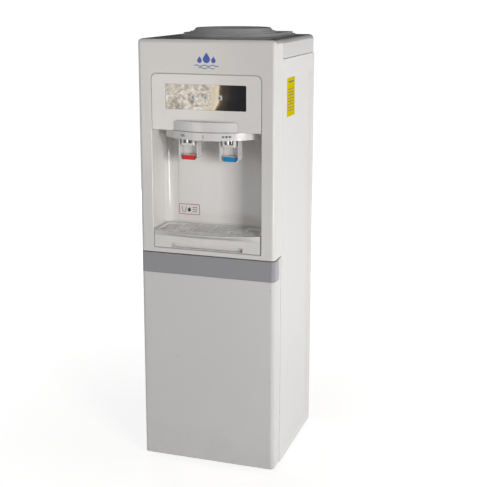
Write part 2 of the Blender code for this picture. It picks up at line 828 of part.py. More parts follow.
def make_upper_front_panel():
    """Front moulding that wraps to the sides and top, with the opening for the alcove."""
    def front_edges(middle, run):
        at_front = middle.y < FRONT + PANEL_RETURN / 2
        on_top = middle.z > INSERT_TOP
        upright = abs(run.z) > ALONG_SHARE
        return (upright and at_front) or (on_top and at_front) or (on_top and abs(run.y) > ALONG_SHARE)
    shell = box((-SIDE, FRONT, PANEL_BOTTOM), (SIDE, BACK_OF_PANEL, BODY_HEIGHT))
    round_edges(shell, PANEL_EDGE, front_edges)
    room = box((PANEL_WALL - SIDE, FRONT + PANEL_WALL, PANEL_BOTTOM - OVERRUN),
               (SIDE - PANEL_WALL, BACK_OF_PANEL + OVERRUN, BODY_HEIGHT - PANEL_WALL))
    round_edges(room, PANEL_EDGE - PANEL_WALL, front_edges)
    half = INSERT_HALF + SEAM / 2
    mouth = rectangle(-half, TRAY_BOTTOM - SEAM, half, INSERT_TOP + SEAM / 2,
                      [0, 0, INSERT_CORNER, INSERT_CORNER], CORNER_STEPS)
    flare = loft([mouth_ring(FRONT - OVERRUN, MOUTH_EASE + OVERRUN),
                  mouth_ring(FRONT + MOUTH_EASE + SEAM, -SEAM)])
    hole = prism(mouth, FRONT - OVERRUN, FRONT + PANEL_WALL + OVERRUN, "Y")
    part(cut(shell, room, hole, flare), "upper_front_panel", "white_moulding")


def mouth_ring(y, grow):
    """The panel's opening, grown by some amount, as a ring at one depth."""
    half = INSERT_HALF + SEAM / 2 + grow
    corner = INSERT_CORNER + grow
    outline = rectangle(-half, TRAY_BOTTOM - SEAM - grow, half, INSERT_TOP + SEAM / 2 + grow,
                        [0, 0, corner, corner], CORNER_STEPS)
    return [(x, y, z) for x, z in outline]


# Fascia, alcove and display

def window_outline(grow=0.0):
    """The display window's outline in the front plane."""
    middle = INSERT_TOP - WINDOW_DROP
    return rectangle(-WINDOW_WIDTH / 2 - grow, middle - WINDOW_HEIGHT / 2 - grow,
                     WINDOW_WIDTH / 2 + grow, middle + WINDOW_HEIGHT / 2 + grow, WINDOW_CORNER,
                     SMALL_STEPS)


def lamp_xs():
    """Places of the three indicator lamps along the display."""
    return [-LAMP_SPACING, 0.0, LAMP_SPACING]


def fascia_ring(y, grow, foot=0):
    """The fascia's outline at one depth, grown or drawn in, with its foot lowered."""
    half = INSERT_HALF + grow
    corner = INSERT_CORNER + grow
    outline = rectangle(-half, ALCOVE_TOP - foot, half, INSERT_TOP + grow,
                        [0, 0, corner, corner], CORNER_STEPS)
    return [(x, y, z) for x, z in outline]


def make_alcove_liner():
    """One moulding: the fascia, its backing flange, and the alcove and tray pocket behind."""
    skin = FRONT + PANEL_WALL + FIT
    fascia = loft([fascia_ring(FRONT, -SEAM_EASE), fascia_ring(FRONT + SEAM_EASE, 0),
                   fascia_ring(skin, 0), fascia_ring(skin, LINER_FLANGE, LINER_FLANGE),
                   fascia_ring(skin + LINER_WALL, LINER_FLANGE, LINER_FLANGE)])
    half = INSERT_HALF + SEAM / 2
    rim = skin + LINER_WALL / 2
    outer = rounded([(-half - LINER_WALL, rim), (half + LINER_WALL, rim),
                     (half + LINER_WALL, ALCOVE_BACK + LINER_WALL),
                     (-half - LINER_WALL, ALCOVE_BACK + LINER_WALL)],
                    [0, 0, ALCOVE_CORNER + LINER_WALL, ALCOVE_CORNER + LINER_WALL],
                    CORNER_STEPS)
    inner = rounded([(-half, FRONT - OVERRUN), (half, FRONT - OVERRUN), (half, ALCOVE_BACK),
                     (-half, ALCOVE_BACK)], [0, 0, ALCOVE_CORNER, ALCOVE_CORNER], CORNER_STEPS)
    case = prism(outer, TRAY_BOTTOM - LINER_WALL, ALCOVE_TOP + LINER_WALL)
    hollow = prism(inner, TRAY_BOTTOM, ALCOVE_TOP)
    tools = [hollow]
    pocket_back = FRONT + WINDOW_SINK + WINDOW_GLASS + FIT
    tools.append(prism(window_outline(FIT), FRONT - OVERRUN, pocket_back, "Y"))
    middle = INSERT_TOP - WINDOW_DROP
    for x in lamp_xs():
        tools.append(disc((x, 0, middle), LAMP_RADIUS + FIT * 2, -skin - OVERRUN,
                          -pocket_back + OVERRUN, "Y", LAMP_STEPS))
    for x in TAP_XS.values():
        tools += tap_mouths(x, ALCOVE_TOP - OVERRUN, ALCOVE_TOP + LINER_WALL + OVERRUN)
    reach = INSERT_HALF - BACK_PANEL_MARGIN
    sunk = rectangle(-reach, TRAY_TOP + BACK_PANEL_EASE, reach, ALCOVE_TOP - BACK_PANEL_EASE,
                     BACK_PANEL_EASE)
    tools.append(prism(sunk, ALCOVE_BACK - OVERRUN, ALCOVE_BACK + BACK_PANEL_SINK, "Y"))
    part(cut(fuse(case, fascia), *tools), "alcove_liner", "white_moulding")


def tap_mouths(x, low, high):
    """The holes that a tap's collar and its lever's ears need in a level plate."""
    half = COLLAR_WIDTH / 2 + COLLAR_PLAY
    wide = LEVER_WIDTH / 2 + MOUTH_CLEARANCE
    collar = box((x - half, COLLAR_FRONT - COLLAR_PLAY, low),
                 (x + half, COLLAR_BACK + COLLAR_PLAY, high))
    ears = box((x - wide, LEVER_BACK - LEVER_EAR_DEPTH - MOUTH_CLEARANCE, low),
               (x + wide, LEVER_BACK + MOUTH_CLEARANCE, high))
    return [collar, ears]


def make_display():
    """Smoked window in its pocket, and the board with three lamps behind it."""
    face = FRONT + WINDOW_SINK
    part(prism(window_outline(), face, face + WINDOW_GLASS, "Y"), "display_window", "smoked")
    back = FRONT + PANEL_WALL + FIT + LINER_WALL + FIT
    middle = INSERT_TOP - WINDOW_DROP
    board = box((-BOARD_WIDTH / 2, back, middle - BOARD_HEIGHT / 2),
                (BOARD_WIDTH / 2, back + BOARD_THICKNESS, middle + BOARD_HEIGHT / 2))
    nose = face + WINDOW_GLASS + FIT * 2
    lamps = [disc((x, 0, middle), LAMP_RADIUS, -back - BOARD_THICKNESS / 2, -nose, "Y", LAMP_STEPS)
             for x in lamp_xs()]
    part(fuse(board, *lamps), "indicator_board", "green_board")


# Taps

def make_tap_hood():
    """Bowed block under the display that covers the taps."""
    low = ALCOVE_TOP + FIT
    half = HOOD_WIDTH / 2
    plan = [(half, FRONT - FIT), (-half, FRONT - FIT)]
    plan += bow(half, FRONT - HOOD_STAND, HOOD_BOW)
    hood = prism(plan, low - OVERRUN, low + HOOD_HEIGHT + OVERRUN)
    reach = HOOD_STAND + HOOD_BOW + OVERRUN
    front_view = rectangle(-half, low, half, low + HOOD_HEIGHT, [0, 0, HOOD_CORNER, HOOD_CORNER])
    boolean(hood, prism(front_view, FRONT - reach, FRONT + OVERRUN, "Y"), "INTERSECT")
    inner = half - HOOD_WALL
    room = [(inner, FRONT + OVERRUN), (-inner, FRONT + OVERRUN)]
    room += bow(inner, FRONT - HOOD_STAND + HOOD_WALL, HOOD_BOW)
    cut(hood, prism(room, low + HOOD_WALL, low + HOOD_HEIGHT - HOOD_WALL))
    part(hood, "tap_hood", "white_moulding")


def visor_plan(inset):
    """The visor's plan: the front arc, then straight back to its rear edge."""
    radius = VISOR_RADIUS - inset
    half = VISOR_WIDTH / 2 - inset
    centre = FRONT - VISOR_BOW + VISOR_RADIUS
    reach = math.asin(half / radius)
    turns = [reach * (2 * step / BOW_STEPS - 1) for step in range(BOW_STEPS + 1)]
    arc = [(radius * math.sin(t), centre - radius * math.cos(t)) for t in turns]
    back = FRONT + VISOR_BACK - inset
    turn = VISOR_TURN - inset
    radii = [turn] + [0] * (len(arc) - 2) + [turn, 0, 0]
    return rounded(arc + [(half, back), (-half, back)], radii)


def make_tap_visor():
    """Curved rim under the hood, open below, with mouths for the two taps."""
    top = ALCOVE_TOP - FIT
    low = top - VISOR_HEIGHT
    shell = prism(visor_plan(0), low, top)
    tools = [prism(visor_plan(VISOR_WALL), low - OVERRUN, top - VISOR_WALL)]
    for x in TAP_XS.values():
        tools += tap_mouths(x, low - OVERRUN, top + OVERRUN)
    part(cut(shell, *tools), "tap_visor", "white_moulding")


def make_tap(kind, x):
    """White valve body above the ceiling and a collar below it with an arched window."""
    half = COLLAR_WIDTH / 2
    front = COLLAR_FRONT
    top = ALCOVE_TOP + LINER_WALL + FIT
    collar = prism(rectangle(x - half, front, x + half, COLLAR_BACK, COLLAR_CORNER),
                   COLLAR_BOTTOM, top + VALVE_FOOT / 2)
    foot_half = VALVE_FOOT_WIDTH / 2
    foot = prism(rectangle(x - foot_half, front, x + foot_half, front + VALVE_FOOT_DEPTH,
                           SHEET_EDGE), top, top + VALVE_FOOT)
    valve_half = VALVE_WIDTH / 2
    valve = prism(rectangle(x - valve_half, front, x + valve_half, PIVOT_Y + VALVE_BACK,
                            SHEET_EDGE), top + VALVE_FOOT / 2, top + VALVE_HEIGHT)
    port_z = top + VALVE_HEIGHT * TAP_PORT_SHARE
    port = disc((x, 0, port_z), TAP_PORT_RADIUS, -PIVOT_Y - VALVE_BACK - TAP_PORT_REACH,
                -PIVOT_Y, "Y", PIN_STEPS)
    well = disc((x, NOZZLE_Y, 0), NOZZLE_RADIUS + FIT, COLLAR_BOTTOM + COLLAR_RIM, ALCOVE_TOP,
                steps=BORE_STEPS)
    window = prism(rectangle(x - COLLAR_WINDOW / 2, COLLAR_BOTTOM + COLLAR_RIM + FIT,
                             x + COLLAR_WINDOW / 2, ALCOVE_TOP - SHEET_EDGE,
                             [0, 0, COLLAR_CORNER, COLLAR_CORNER]),
                   front - OVERRUN, NOZZLE_Y - FIT, "Y")
    spout = disc((x, NOZZLE_Y, 0), SPOUT_RADIUS, COLLAR_BOTTOM - OVERRUN,
                 COLLAR_BOTTOM + COLLAR_RIM + OVERRUN, steps=BORE_STEPS)
    pin_hole = disc((0, PIVOT_Y, PIVOT_Z), LEVER_PIN_RADIUS + FIT, x - half, x + half, "X",
                    PIN_STEPS)
    body = cut(fuse(collar, foot, valve, port), well, window, spout, pin_hole)
    part(body, kind + "_tap", "white_moulding")


def make_nozzle(kind, x):
    """Bright turned nozzle with a step and a bore."""
    low = COLLAR_BOTTOM + COLLAR_RIM + FIT
    high = ALCOVE_TOP - FIT
    wall = NOZZLE_RADIUS - NOZZLE_BORE
    groove = wall * NOZZLE_GROOVE_SHARE
    middle = low + (high - low) * NOZZLE_STEP_SHARE
    bore_top = high - wall
    profile = [(0, high), (NOZZLE_RADIUS, high), (NOZZLE_RADIUS, middle + groove),
               (NOZZLE_RADIUS - groove, middle), (NOZZLE_RADIUS, middle - groove),
               (NOZZLE_RADIUS, low + groove), (NOZZLE_RADIUS - groove, low),
               (NOZZLE_BORE, low), (NOZZLE_BORE, bore_top), (0, bore_top)]
    part(turned(profile, (x, NOZZLE_Y, 0), steps=BORE_STEPS), kind + "_nozzle", "chrome")


def lever_shell(x, inset, top):
    """The scoop's solid up to a height, drawn in from its walls by the inset."""
    half = LEVER_WIDTH / 2 - inset
    radius = LEVER_CORNER - inset
    outline = rectangle(x - half, LEVER_BOTTOM + inset, x + half, top, [radius, radius, 0, 0])
    front = LEVER_Y - (OVERRUN if inset else 0)
    return prism(outline, front, LEVER_BACK - inset, "Y")


def make_lever(kind, x):
    """U-shaped scoop with ears that hang on the pivot pin, and a pad for its badge."""
    half = LEVER_WIDTH / 2
    scoop_top = ALCOVE_TOP - VISOR_WALL - MOUTH_CLEARANCE
    scoop = cut(lever_shell(x, 0, scoop_top), lever_shell(x, LEVER_WALL, scoop_top + OVERRUN))
    ear_front = LEVER_BACK - LEVER_EAR_DEPTH
    ears = box((x - half, ear_front, scoop_top - LEVER_EAR_DEPTH),
               (x + half, LEVER_BACK, PIVOT_Z + LEVER_EAR_RISE / 2))
    round_edges(ears, LEVER_EAR_DEPTH * EAR_ROUND_SHARE,
                lambda m, r: m.z > PIVOT_Z and abs(r.x) > ALONG_SHARE)
    gap = box((x - half + LEVER_WALL, ear_front - OVERRUN, LEVER_BOTTOM),
              (x + half - LEVER_WALL, LEVER_BACK - LEVER_WALL, PIVOT_Z + LEVER_EAR_RISE))
    above = box((x - half + LEVER_WALL, ear_front - OVERRUN, scoop_top),
                (x + half - LEVER_WALL, LEVER_BACK + OVERRUN, PIVOT_Z + LEVER_EAR_RISE))
    low = LEVER_BOTTOM + FIT
    pad_front = LEVER_BACK - LEVER_WALL - BADGE_PAD
    pad_half = BADGE_WIDTH / 2 + LEVER_WALL / 2
    pad = prism(rectangle(x - pad_half, LEVER_BOTTOM + LEVER_WALL / 2, x + pad_half,
                          low + BADGE_HEIGHT + LEVER_WALL / 2, LEVER_WALL / 2, SMALL_STEPS),
                pad_front - OVERRUN, LEVER_BACK - LEVER_WALL / 2, "Y")
    notch_half = pad_half + FIT
    notch = box((x - notch_half, LEVER_Y - OVERRUN, LEVER_BOTTOM - OVERRUN),
                (x + notch_half, pad_front, low + BADGE_HEIGHT + LEVER_WALL))
    hole = disc((0, PIVOT_Y, PIVOT_Z), LEVER_PIN_RADIUS + FIT, x - LEVER_WIDTH,
                x + LEVER_WIDTH, "X", PIN_STEPS)
    lever = fuse(cut(fuse(scoop, cut(ears, gap)), above), pad)
    lever = part(cut(lever, hole, notch), kind + "_lever", "white_moulding")
    face = pad_front - FIT
    badge = prism(rectangle(x - BADGE_WIDTH / 2, low, x + BADGE_WIDTH / 2, low + BADGE_HEIGHT,
                            BADGE_THICKNESS / 2, SMALL_STEPS), face - BADGE_THICKNESS, face, "Y")
    badge = part(badge, kind + "_badge", "red" if kind == "hot" else "blue")
    joint(kind + "_lever_axis", (x, PIVOT_Y, PIVOT_Z), lever, badge)
    pin_half = half - FIT
    pin = disc((0, PIVOT_Y, PIVOT_Z), LEVER_PIN_RADIUS, x - pin_half, x + pin_half, "X",
               PIN_STEPS)
    part(pin, kind + "_lever_pin", "stainless")
    make_lever_spring(kind, x)


def make_lever_spring(kind, x):
    """Small torsion spring round the pin, between the valve body and the right ear."""
    radius = LEVER_PIN_RADIUS + SPRING_PLAY + SPRING_WIRE / 2
    room = LEVER_WIDTH / 2 - LEVER_WALL - VALVE_WIDTH / 2
    start = x + VALVE_WIDTH / 2 + (room - SPRING_PITCH * SPRING_TURNS) / 2
    points = []
    for step in range(SPRING_TURNS * SPRING_TURN_STEPS + 1):
        turn = 2 * math.pi * step / SPRING_TURN_STEPS
        advance = SPRING_PITCH * step / SPRING_TURN_STEPS
        points.append((start + advance, PIVOT_Y + radius * math.cos(turn),
                       PIVOT_Z + radius * math.sin(turn)))
    tube(points, SPRING_WIRE / 2, kind + "_lever_spring", "stainless")


# Drip tray

def tray_half():
    """Half the tray's width."""
    return INSERT_HALF - TRAY_SIDE_GAP


def tray_ring(z, front_bow, inset=0.0):
    """The tray front's plan at one height: a bowed front edge and a straight back."""
    half = tray_half()
    arc = bow(half, FRONT, front_bow) if front_bow else straight(half)
    back = FRONT + TRAY_WALL * 2
    return [(x, y, z) for x, y in arc + [(half, back), (-half, back)]]


def straight(half):
    """As many points as an arc has, on the flat front plane."""
    return [(half * (2 * step / BOW_STEPS - 1), FRONT) for step in range(BOW_STEPS + 1)]


def make_drip_tray():
    """Pull-out tray: flat front, bowed lip lofted forward over it, finger slot below."""
    low = TRAY_BOTTOM + FIT
    lip_low = TRAY_TOP - LIP_HEIGHT
    blend = lip_low - LIP_BLEND
    faint = LIP_UNDER_BOW * LIP_START_SHARE
    face = loft([tray_ring(low, 0), tray_ring(blend, 0), tray_ring((blend + lip_low) / 2, faint),
                 tray_ring(lip_low, LIP_UNDER_BOW),
                 tray_ring(TRAY_TOP - LIP_HEIGHT * LIP_ROLL_SHARE, LIP_BOW - SHEET),
                 tray_ring(TRAY_TOP, LIP_BOW)])
    half = tray_half()
    back = ALCOVE_BACK - TRAY_SIDE_GAP
    tub = prism(rounded([(-half, FRONT + TRAY_WALL), (half, FRONT + TRAY_WALL), (half, back),
                         (-half, back)], [0, 0, ALCOVE_CORNER, ALCOVE_CORNER], CORNER_STEPS),
                low, TRAY_TOP)
    inner = half - TRAY_WALL
    rest = TRAY_TOP - GRILLE_SINK - GRILLE_THICKNESS
    step = grille_outline(FIT)
    shelf = prism(step, rest - FIT, TRAY_TOP + OVERRUN)
    bend = ALCOVE_CORNER - TRAY_WALL
    well = prism(rounded([(-inner, FRONT + TRAY_WALL * 2), (inner, FRONT + TRAY_WALL * 2),
                          (inner, back - TRAY_WALL), (-inner, back - TRAY_WALL)],
                         [SHEET_EDGE, SHEET_EDGE, bend, bend], CORNER_STEPS),
                 TRAY_TOP - TRAY_DEEP, rest + OVERRUN)
    slot_low = low + SLOT_LEDGE
    slot = box((-SLOT_WIDTH / 2, FRONT - OVERRUN, slot_low),
               (SLOT_WIDTH / 2, FRONT + SLOT_DEPTH, slot_low + SLOT_HEIGHT))
    tray = part(cut(fuse(face, tub), shelf, well, slot), "drip_tray", "white_moulding")
    grille = make_drip_grille(rest)
    axis = joint("tray_slide", (0, FRONT, TRAY_TOP), tray)
    lift = joint("grille_lift", (0, (FRONT + back) / 2, rest), grille)
    lift.parent = axis
    lift.matrix_parent_inverse = axis.matrix_world.inverted()


def grille_outline(grow=0.0):
    """The grille's plan: bowed in front like the lip, rounded at the back corners."""
    half = tray_half() - TRAY_WALL / 2 + grow
    back = ALCOVE_BACK - TRAY_SIDE_GAP - TRAY_WALL / 2 + grow
    start = FRONT + TRAY_WALL
    bend = ALCOVE_CORNER - TRAY_WALL / 2
    front = bow(half, start - grow, LIP_BOW * GRILLE_BOW_SHARE)
    rear = rounded([(half, start), (half, back), (-half, back), (-half, start)],
                   [0, bend, bend, 0], CORNER_STEPS)
    return front + rear[1:-1]


def make_drip_grille(rest):
    """Slatted plate: rows of slots between cross ribs, and two drain holes under the taps."""
    low = rest
    back = ALCOVE_BACK - TRAY_SIDE_GAP - GRILLE_RIM
    start = FRONT + TRAY_WALL + GRILLE_RIM
    pitch = GRILLE_SLOT + GRILLE_BAR
    rows = int((back - start + GRILLE_BAR) / pitch)
    wide = 2 * (tray_half() - GRILLE_RIM * GRILLE_SIDE_SHARE)
    bay = (wide - GRILLE_RIB * (GRILLE_BAYS - 1)) / GRILLE_BAYS
    slots = []
    for row in range(rows):
        y = start + row * pitch + GRILLE_SLOT / 2
        for column in range(GRILLE_BAYS):
            x = -wide / 2 + bay / 2 + column * (bay + GRILLE_RIB)
            beside = any(abs(x - tap) < bay / 2 + DRAIN_HOLE_RADIUS for tap in TAP_XS.values())
            near_hole = beside and abs(y - NOZZLE_Y) < DRAIN_HOLE_RADIUS + pitch
            corner = row > rows - 3 and column in (0, GRILLE_BAYS - 1)
            if near_hole or corner:
                continue
            slots.append(rectangle(x - bay / 2, y - GRILLE_SLOT / 2,
                                   x + bay / 2, y + GRILLE_SLOT / 2))
    for x in TAP_XS.values():
        slots.append(ring_points((x, NOZZLE_Y), DRAIN_HOLE_RADIUS, FOOT_STEPS))
    plate = prism(grille_outline(), low, low + GRILLE_THICKNESS, holes=slots)
    return part(plate, "drip_grille", "white_moulding")


# Cabinet door

def door_plan(inset, reach):
    """The door's hollow in plan, behind walls of one thickness, open at the back."""
    left = inset - SIDE
    right = SIDE - inset
    radius = PANEL_EDGE - inset
    lip = HINGE_X + HINGE_INSET * HINGE_CURL_SHARE
    turn = FRONT + DOOR_RETURN - inset
    return rounded([(left, FRONT + inset), (right, FRONT + inset), (right, reach), (lip, reach),
                    (lip, turn), (left, turn)], [radius, radius, 0, 0, 0, radius])


def band_plan(wall, back):
    """The grey band in plan: a strip round the front and both returns."""
    outer = rounded([(-SIDE, back), (-SIDE, FRONT), (SIDE, FRONT), (SIDE, back)],
                    [0, PANEL_EDGE, PANEL_EDGE, 0])
    half = SIDE - wall
    inner = rounded([(half, back), (half, FRONT + wall), (-half, FRONT + wall), (-half, back)],
                    [0, PANEL_EDGE - wall, PANEL_EDGE - wall, 0])
    return outer + inner


def make_door():
    """Lower front moulding with a curled hinge edge and a rebate for the grey band."""
    back = FRONT + DOOR_RETURN
    outer = rectangle(-SIDE, FRONT, SIDE, back, [PANEL_EDGE, PANEL_EDGE, SHEET_EDGE, HINGE_INSET])
    shell = prism(outer, DOOR_BOTTOM, DOOR_TOP)
    backing = BAND_WALL + FIT + BAND_BACKING
    ledge = BAND_BOTTOM - BAND_BACKING
    lower = prism(door_plan(DOOR_WALL, back + OVERRUN), DOOR_BOTTOM + DOOR_FLANGE, ledge)
    upper = prism(door_plan(backing, back + OVERRUN), ledge - OVERRUN, DOOR_TOP - DOOR_FLANGE)
    strip_back = FRONT + BAND_RETURN
    rebate = prism(grown_band(strip_back + FIT), BAND_BOTTOM - SEAM / 2, DOOR_TOP + OVERRUN)
    pins = disc((HINGE_X, HINGE_Y, 0), HINGE_PIN_RADIUS + HINGE_CLEARANCE, DOOR_BOTTOM - OVERRUN,
                DOOR_TOP + OVERRUN, steps=BORE_STEPS)
    door = part(cut(shell, lower, upper, rebate, pins), "door", "white_moulding")
    band = prism(band_plan(BAND_WALL, strip_back), BAND_BOTTOM, DOOR_TOP)
    band = part(band, "door_band", "grey_band")
    door_back = make_door_back(back)
    strike = make_strike(back)
    joint("door_axis", (HINGE_X, HINGE_Y, DOOR_BOTTOM), door, band, door_back, strike)


def grown_band(back):
    """The rebate in plan: as the band, but past the outside and with room behind it."""
    wall = BAND_WALL + FIT
    wide = SIDE + OVERRUN
    outer = [(-wide, back), (-wide, FRONT - OVERRUN), (wide, FRONT - OVERRUN), (wide, back)]
    half = SIDE - wall
    inner = rounded([(half, back), (half, FRONT + wall), (-half, FRONT + wall), (-half, back)],
                    [0, PANEL_EDGE - wall, PANEL_EDGE - wall, 0])
    return outer + inner


def make_door_back(back):
    """Flat plate that closes the door's back, with a ribbed frame on its inside."""
    left = HINGE_X + HINGE_INSET * HINGE_CURL_SHARE + FIT
    right = SIDE - BAND_WALL - FIT - BAND_BACKING - FIT
    low = DOOR_BOTTOM + DOOR_FLANGE + FIT
    high = DOOR_TOP - DOOR_FLANGE - FIT
    face = back - DOOR_BACK_SINK
    plate = prism(rectangle(left, low, right, high, SHEET_EDGE, SMALL_STEPS),
                  face - DOOR_BACK_WALL, face, "Y")
    inset = DOOR_RIB_INSET
    frame = rectangle(left + inset, low + inset, right - inset, high - inset, SHEET_EDGE, SMALL_STEPS)
    inner = inset + DOOR_RIB
    room = rectangle(left + inner, low + inner, right - inner, high - inner, SHEET_EDGE, SMALL_STEPS)
    rib = prism(frame, face - DOOR_BACK_WALL - DOOR_RIB_DEPTH, face - DOOR_BACK_WALL / 2, "Y",
                [room])
    return part(fuse(plate, rib), "door_back", "liner")


def catch_x():
    """The middle of the magnetic catch, near the door's free edge."""
    return SIDE - CABINET_SIDE_GAP - CABINET_WALL - CATCH_WIDTH


def catch_top():
    """The height of the cabinet's ceiling, which the catch hangs from."""
    return PANEL_BOTTOM - FIT - CABINET_WALL


def make_strike(back):
    """Steel strike plate on the door's back."""
    face = back - DOOR_BACK_SINK + FIT
    middle = DOOR_TOP - DOOR_FLANGE - FIT * 2 - STRIKE_HEIGHT / 2
    left = catch_x() - CATCH_WIDTH / 2
    outline = rectangle(left, middle - STRIKE_HEIGHT / 2, left + CATCH_WIDTH,
                        middle + STRIKE_HEIGHT / 2, SHEET_EDGE, SMALL_STEPS)
    return part(prism(outline, face, face + STRIKE_THICKNESS, "Y"), "door_strike", "stainless")


def make_catch():
    """Magnetic catch under the cabinet's ceiling, with two pole faces."""
    front = FRONT + DOOR_RETURN - DOOR_BACK_SINK + STRIKE_THICKNESS + FIT * 2
    top = catch_top() - FIT
    body = box((catch_x() - CATCH_WIDTH / 2, front + SHEET, top - CATCH_HEIGHT),
               (catch_x() + CATCH_WIDTH / 2, front + CATCH_DEPTH, top))
    round_edges(body, SHEET_EDGE / 2, lambda m, r: abs(r.z) > ALONG_SHARE, SMALL_STEPS)
    pole_half = CATCH_WIDTH * POLE_WIDTH_SHARE
    poles = [box((catch_x() - pole_half, front, top - CATCH_HEIGHT * share - SHEET),
                 (catch_x() + pole_half, front + CATCH_DEPTH / 2, top - CATCH_HEIGHT * share))
             for share in POLE_SHARES]
    part(fuse(body, *poles), "magnetic_catch", "black")


def make_hinge_bracket(name, plate_low, pin_end):
    """Steel plate with a pin, from the body's edge out over the door's corner."""
    reach = SHEET_FRONT + HINGE_PLATE_REACH
    x0 = PANEL_WALL + FIT - SIDE
    x1 = x0 + HINGE_PLATE_WIDTH
    front = HINGE_Y - HINGE_INSET / 2
    outline = rounded([(x0, front), (x1, front), (x1, reach), (x0 + SHEET_FLANGE, reach),
                       (x0 + SHEET_FLANGE, SHEET_FRONT - FIT), (x0, SHEET_FRONT - FIT)],
                      [HINGE_PIN_RADIUS, HINGE_PIN_RADIUS, 0, 0, 0, 0])
    plate = prism(outline, plate_low, plate_low + HINGE_PLATE)
    start = plate_low + HINGE_PLATE / 2
    pin = disc((HINGE_X, HINGE_Y, 0), HINGE_PIN_RADIUS, min(start, pin_end),
               max(start, pin_end), steps=BORE_STEPS)
    part(fuse(plate, pin), name, "zinc")


def make_hinges():
    """Lower bracket standing on the base pan, upper bracket hanging under the shelf."""
    low = BASE_TOP + FIT
    make_hinge_bracket("lower_hinge", low, DOOR_BOTTOM + HINGE_PIN_LENGTH)
    make_hinge_bracket("upper_hinge", PANEL_BOTTOM, DOOR_TOP - HINGE_PIN_LENGTH)


# Cabinet inside

def make_shelf():
    """Steel shelf between the cabinet and the works."""
    half = SIDE - FIELD_DEPTH - SHEET - FIT
    low = (-half, SHEET_FRONT + SHEET + FIT, SHELF_BOTTOM)
    high = (half, REAR_SKIN - SHEET - FIT * 2, SHELF_TOP)
    part(box(low, high), "mid_shelf", "zinc")


def cabinet_box():
    """The cabinet's inside: low and high corners."""
    half = SIDE - CABINET_SIDE_GAP - CABINET_WALL
    low = BASE_TOP + STEM_HEIGHT + FIT + CABINET_WALL
    return ((-half, SHEET_FRONT + CABINET_FRONT_GAP, low),
            (half, REAR - CABINET_REAR_GAP - CABINET_WALL, catch_top()))


def make_cabinet_liner():
    """Plastic box of the storage cabinet, open at the front, with a front rim."""
    low, high = cabinet_box()
    wall = Vector((CABINET_WALL,) * 3)
    outer = box(Vector(low) - wall * Vector((1, 0, 1)), Vector(high) + wall)
    rim_half = SIDE - SHEET * 3 - FIT * 2
    rim = box((-rim_half, low[1] - SHEET, BASE_TOP + HINGE_PLATE + FIT * 2),
              (rim_half, low[1] + SHEET, high[2] + CABINET_WALL))
    room = box((low[0], low[1] - OVERRUN, low[2]), high)
    back_x = high[0]
    round_edges(room, SHEET_FLANGE,
                lambda m, r: abs(r.z) > ALONG_SHARE and m.y > 0 and abs(m.x) > back_x / 2)
    part(cut(fuse(outer, rim), room), "cabinet_liner", "liner")


# Bottle seat

def seat_outline(grow=0.0):
    """The seat's platform in plan: round in front, square behind."""
    radius = SEAT_RADIUS + grow
    turns = [math.pi + math.pi * step / BOW_STEPS for step in range(BOW_STEPS + 1)]
    front = [(radius * math.cos(t), SEAT_Y + radius * math.sin(t)) for t in turns]
    back = SEAT_Y + SEAT_BACK + grow
    rear = rounded([(radius, SEAT_Y), (radius, back), (-radius, back), (-radius, SEAT_Y)],
                   [0, SEAT_CORNER, SEAT_CORNER, 0])
    return front + rear[1:-1]


def make_bottle_seat():
    """Grey stepped seat with a raised ring, a funnel and a neck for the bottle."""
    low = BODY_HEIGHT + FIT
    apron_top = BODY_HEIGHT + SEAT_STEP_LOW
    plate_top = apron_top + SEAT_STEP_HIGH
    round_top = plate_top + SEAT_STEP_ROUND
    ring_top = round_top + SEAT_RING_HEIGHT
    apron = prism(seat_outline(SEAT_APRON), low, apron_top)
    plate = prism(seat_outline(), low, plate_top)
    cone_low = BODY_HEIGHT - SEAT_CONE_DEPTH
    edge = SHEET_EDGE / 2
    outside = [(0, ring_top), (SEAT_RING_TOP - edge, ring_top), (SEAT_RING_TOP, ring_top - edge),
               (SEAT_RING_BASE, round_top), (SEAT_ROUND_RADIUS - edge, round_top),
               (SEAT_ROUND_RADIUS, round_top - edge), (SEAT_ROUND_RADIUS, low),
               (SEAT_CONE_RADIUS, low), (SEAT_CONE_RADIUS, BODY_HEIGHT - COVER_WALL * 2),
               (SEAT_NECK_OUTER, cone_low), (SEAT_NECK_OUTER, SEAT_BOTTOM), (0, SEAT_BOTTOM)]
    mouth = SEAT_RING_TOP - SEAT_RING_WALL
    ledge_top = SEAT_BOTTOM + SEAT_WALL
    inside = [(0, ring_top + OVERRUN), (mouth, ring_top + OVERRUN), (mouth, round_top),
              (SEAT_CONE_RADIUS - SEAT_WALL, low),
              (SEAT_CONE_RADIUS - SEAT_WALL, BODY_HEIGHT - COVER_WALL * 2),
              (SEAT_NECK_RADIUS, cone_low), (SEAT_NECK_RADIUS, ledge_top),
              (SEAT_NECK_RADIUS - SEAT_LEDGE, ledge_top),
              (SEAT_NECK_RADIUS - SEAT_LEDGE, SEAT_BOTTOM - OVERRUN), (0, SEAT_BOTTOM - OVERRUN)]
    centre = (0, SEAT_Y, 0)
    seat = fuse(turned(outside, centre), plate, apron)
    part(cut(seat, turned(inside, centre)), "bottle_seat", "grey_moulding")


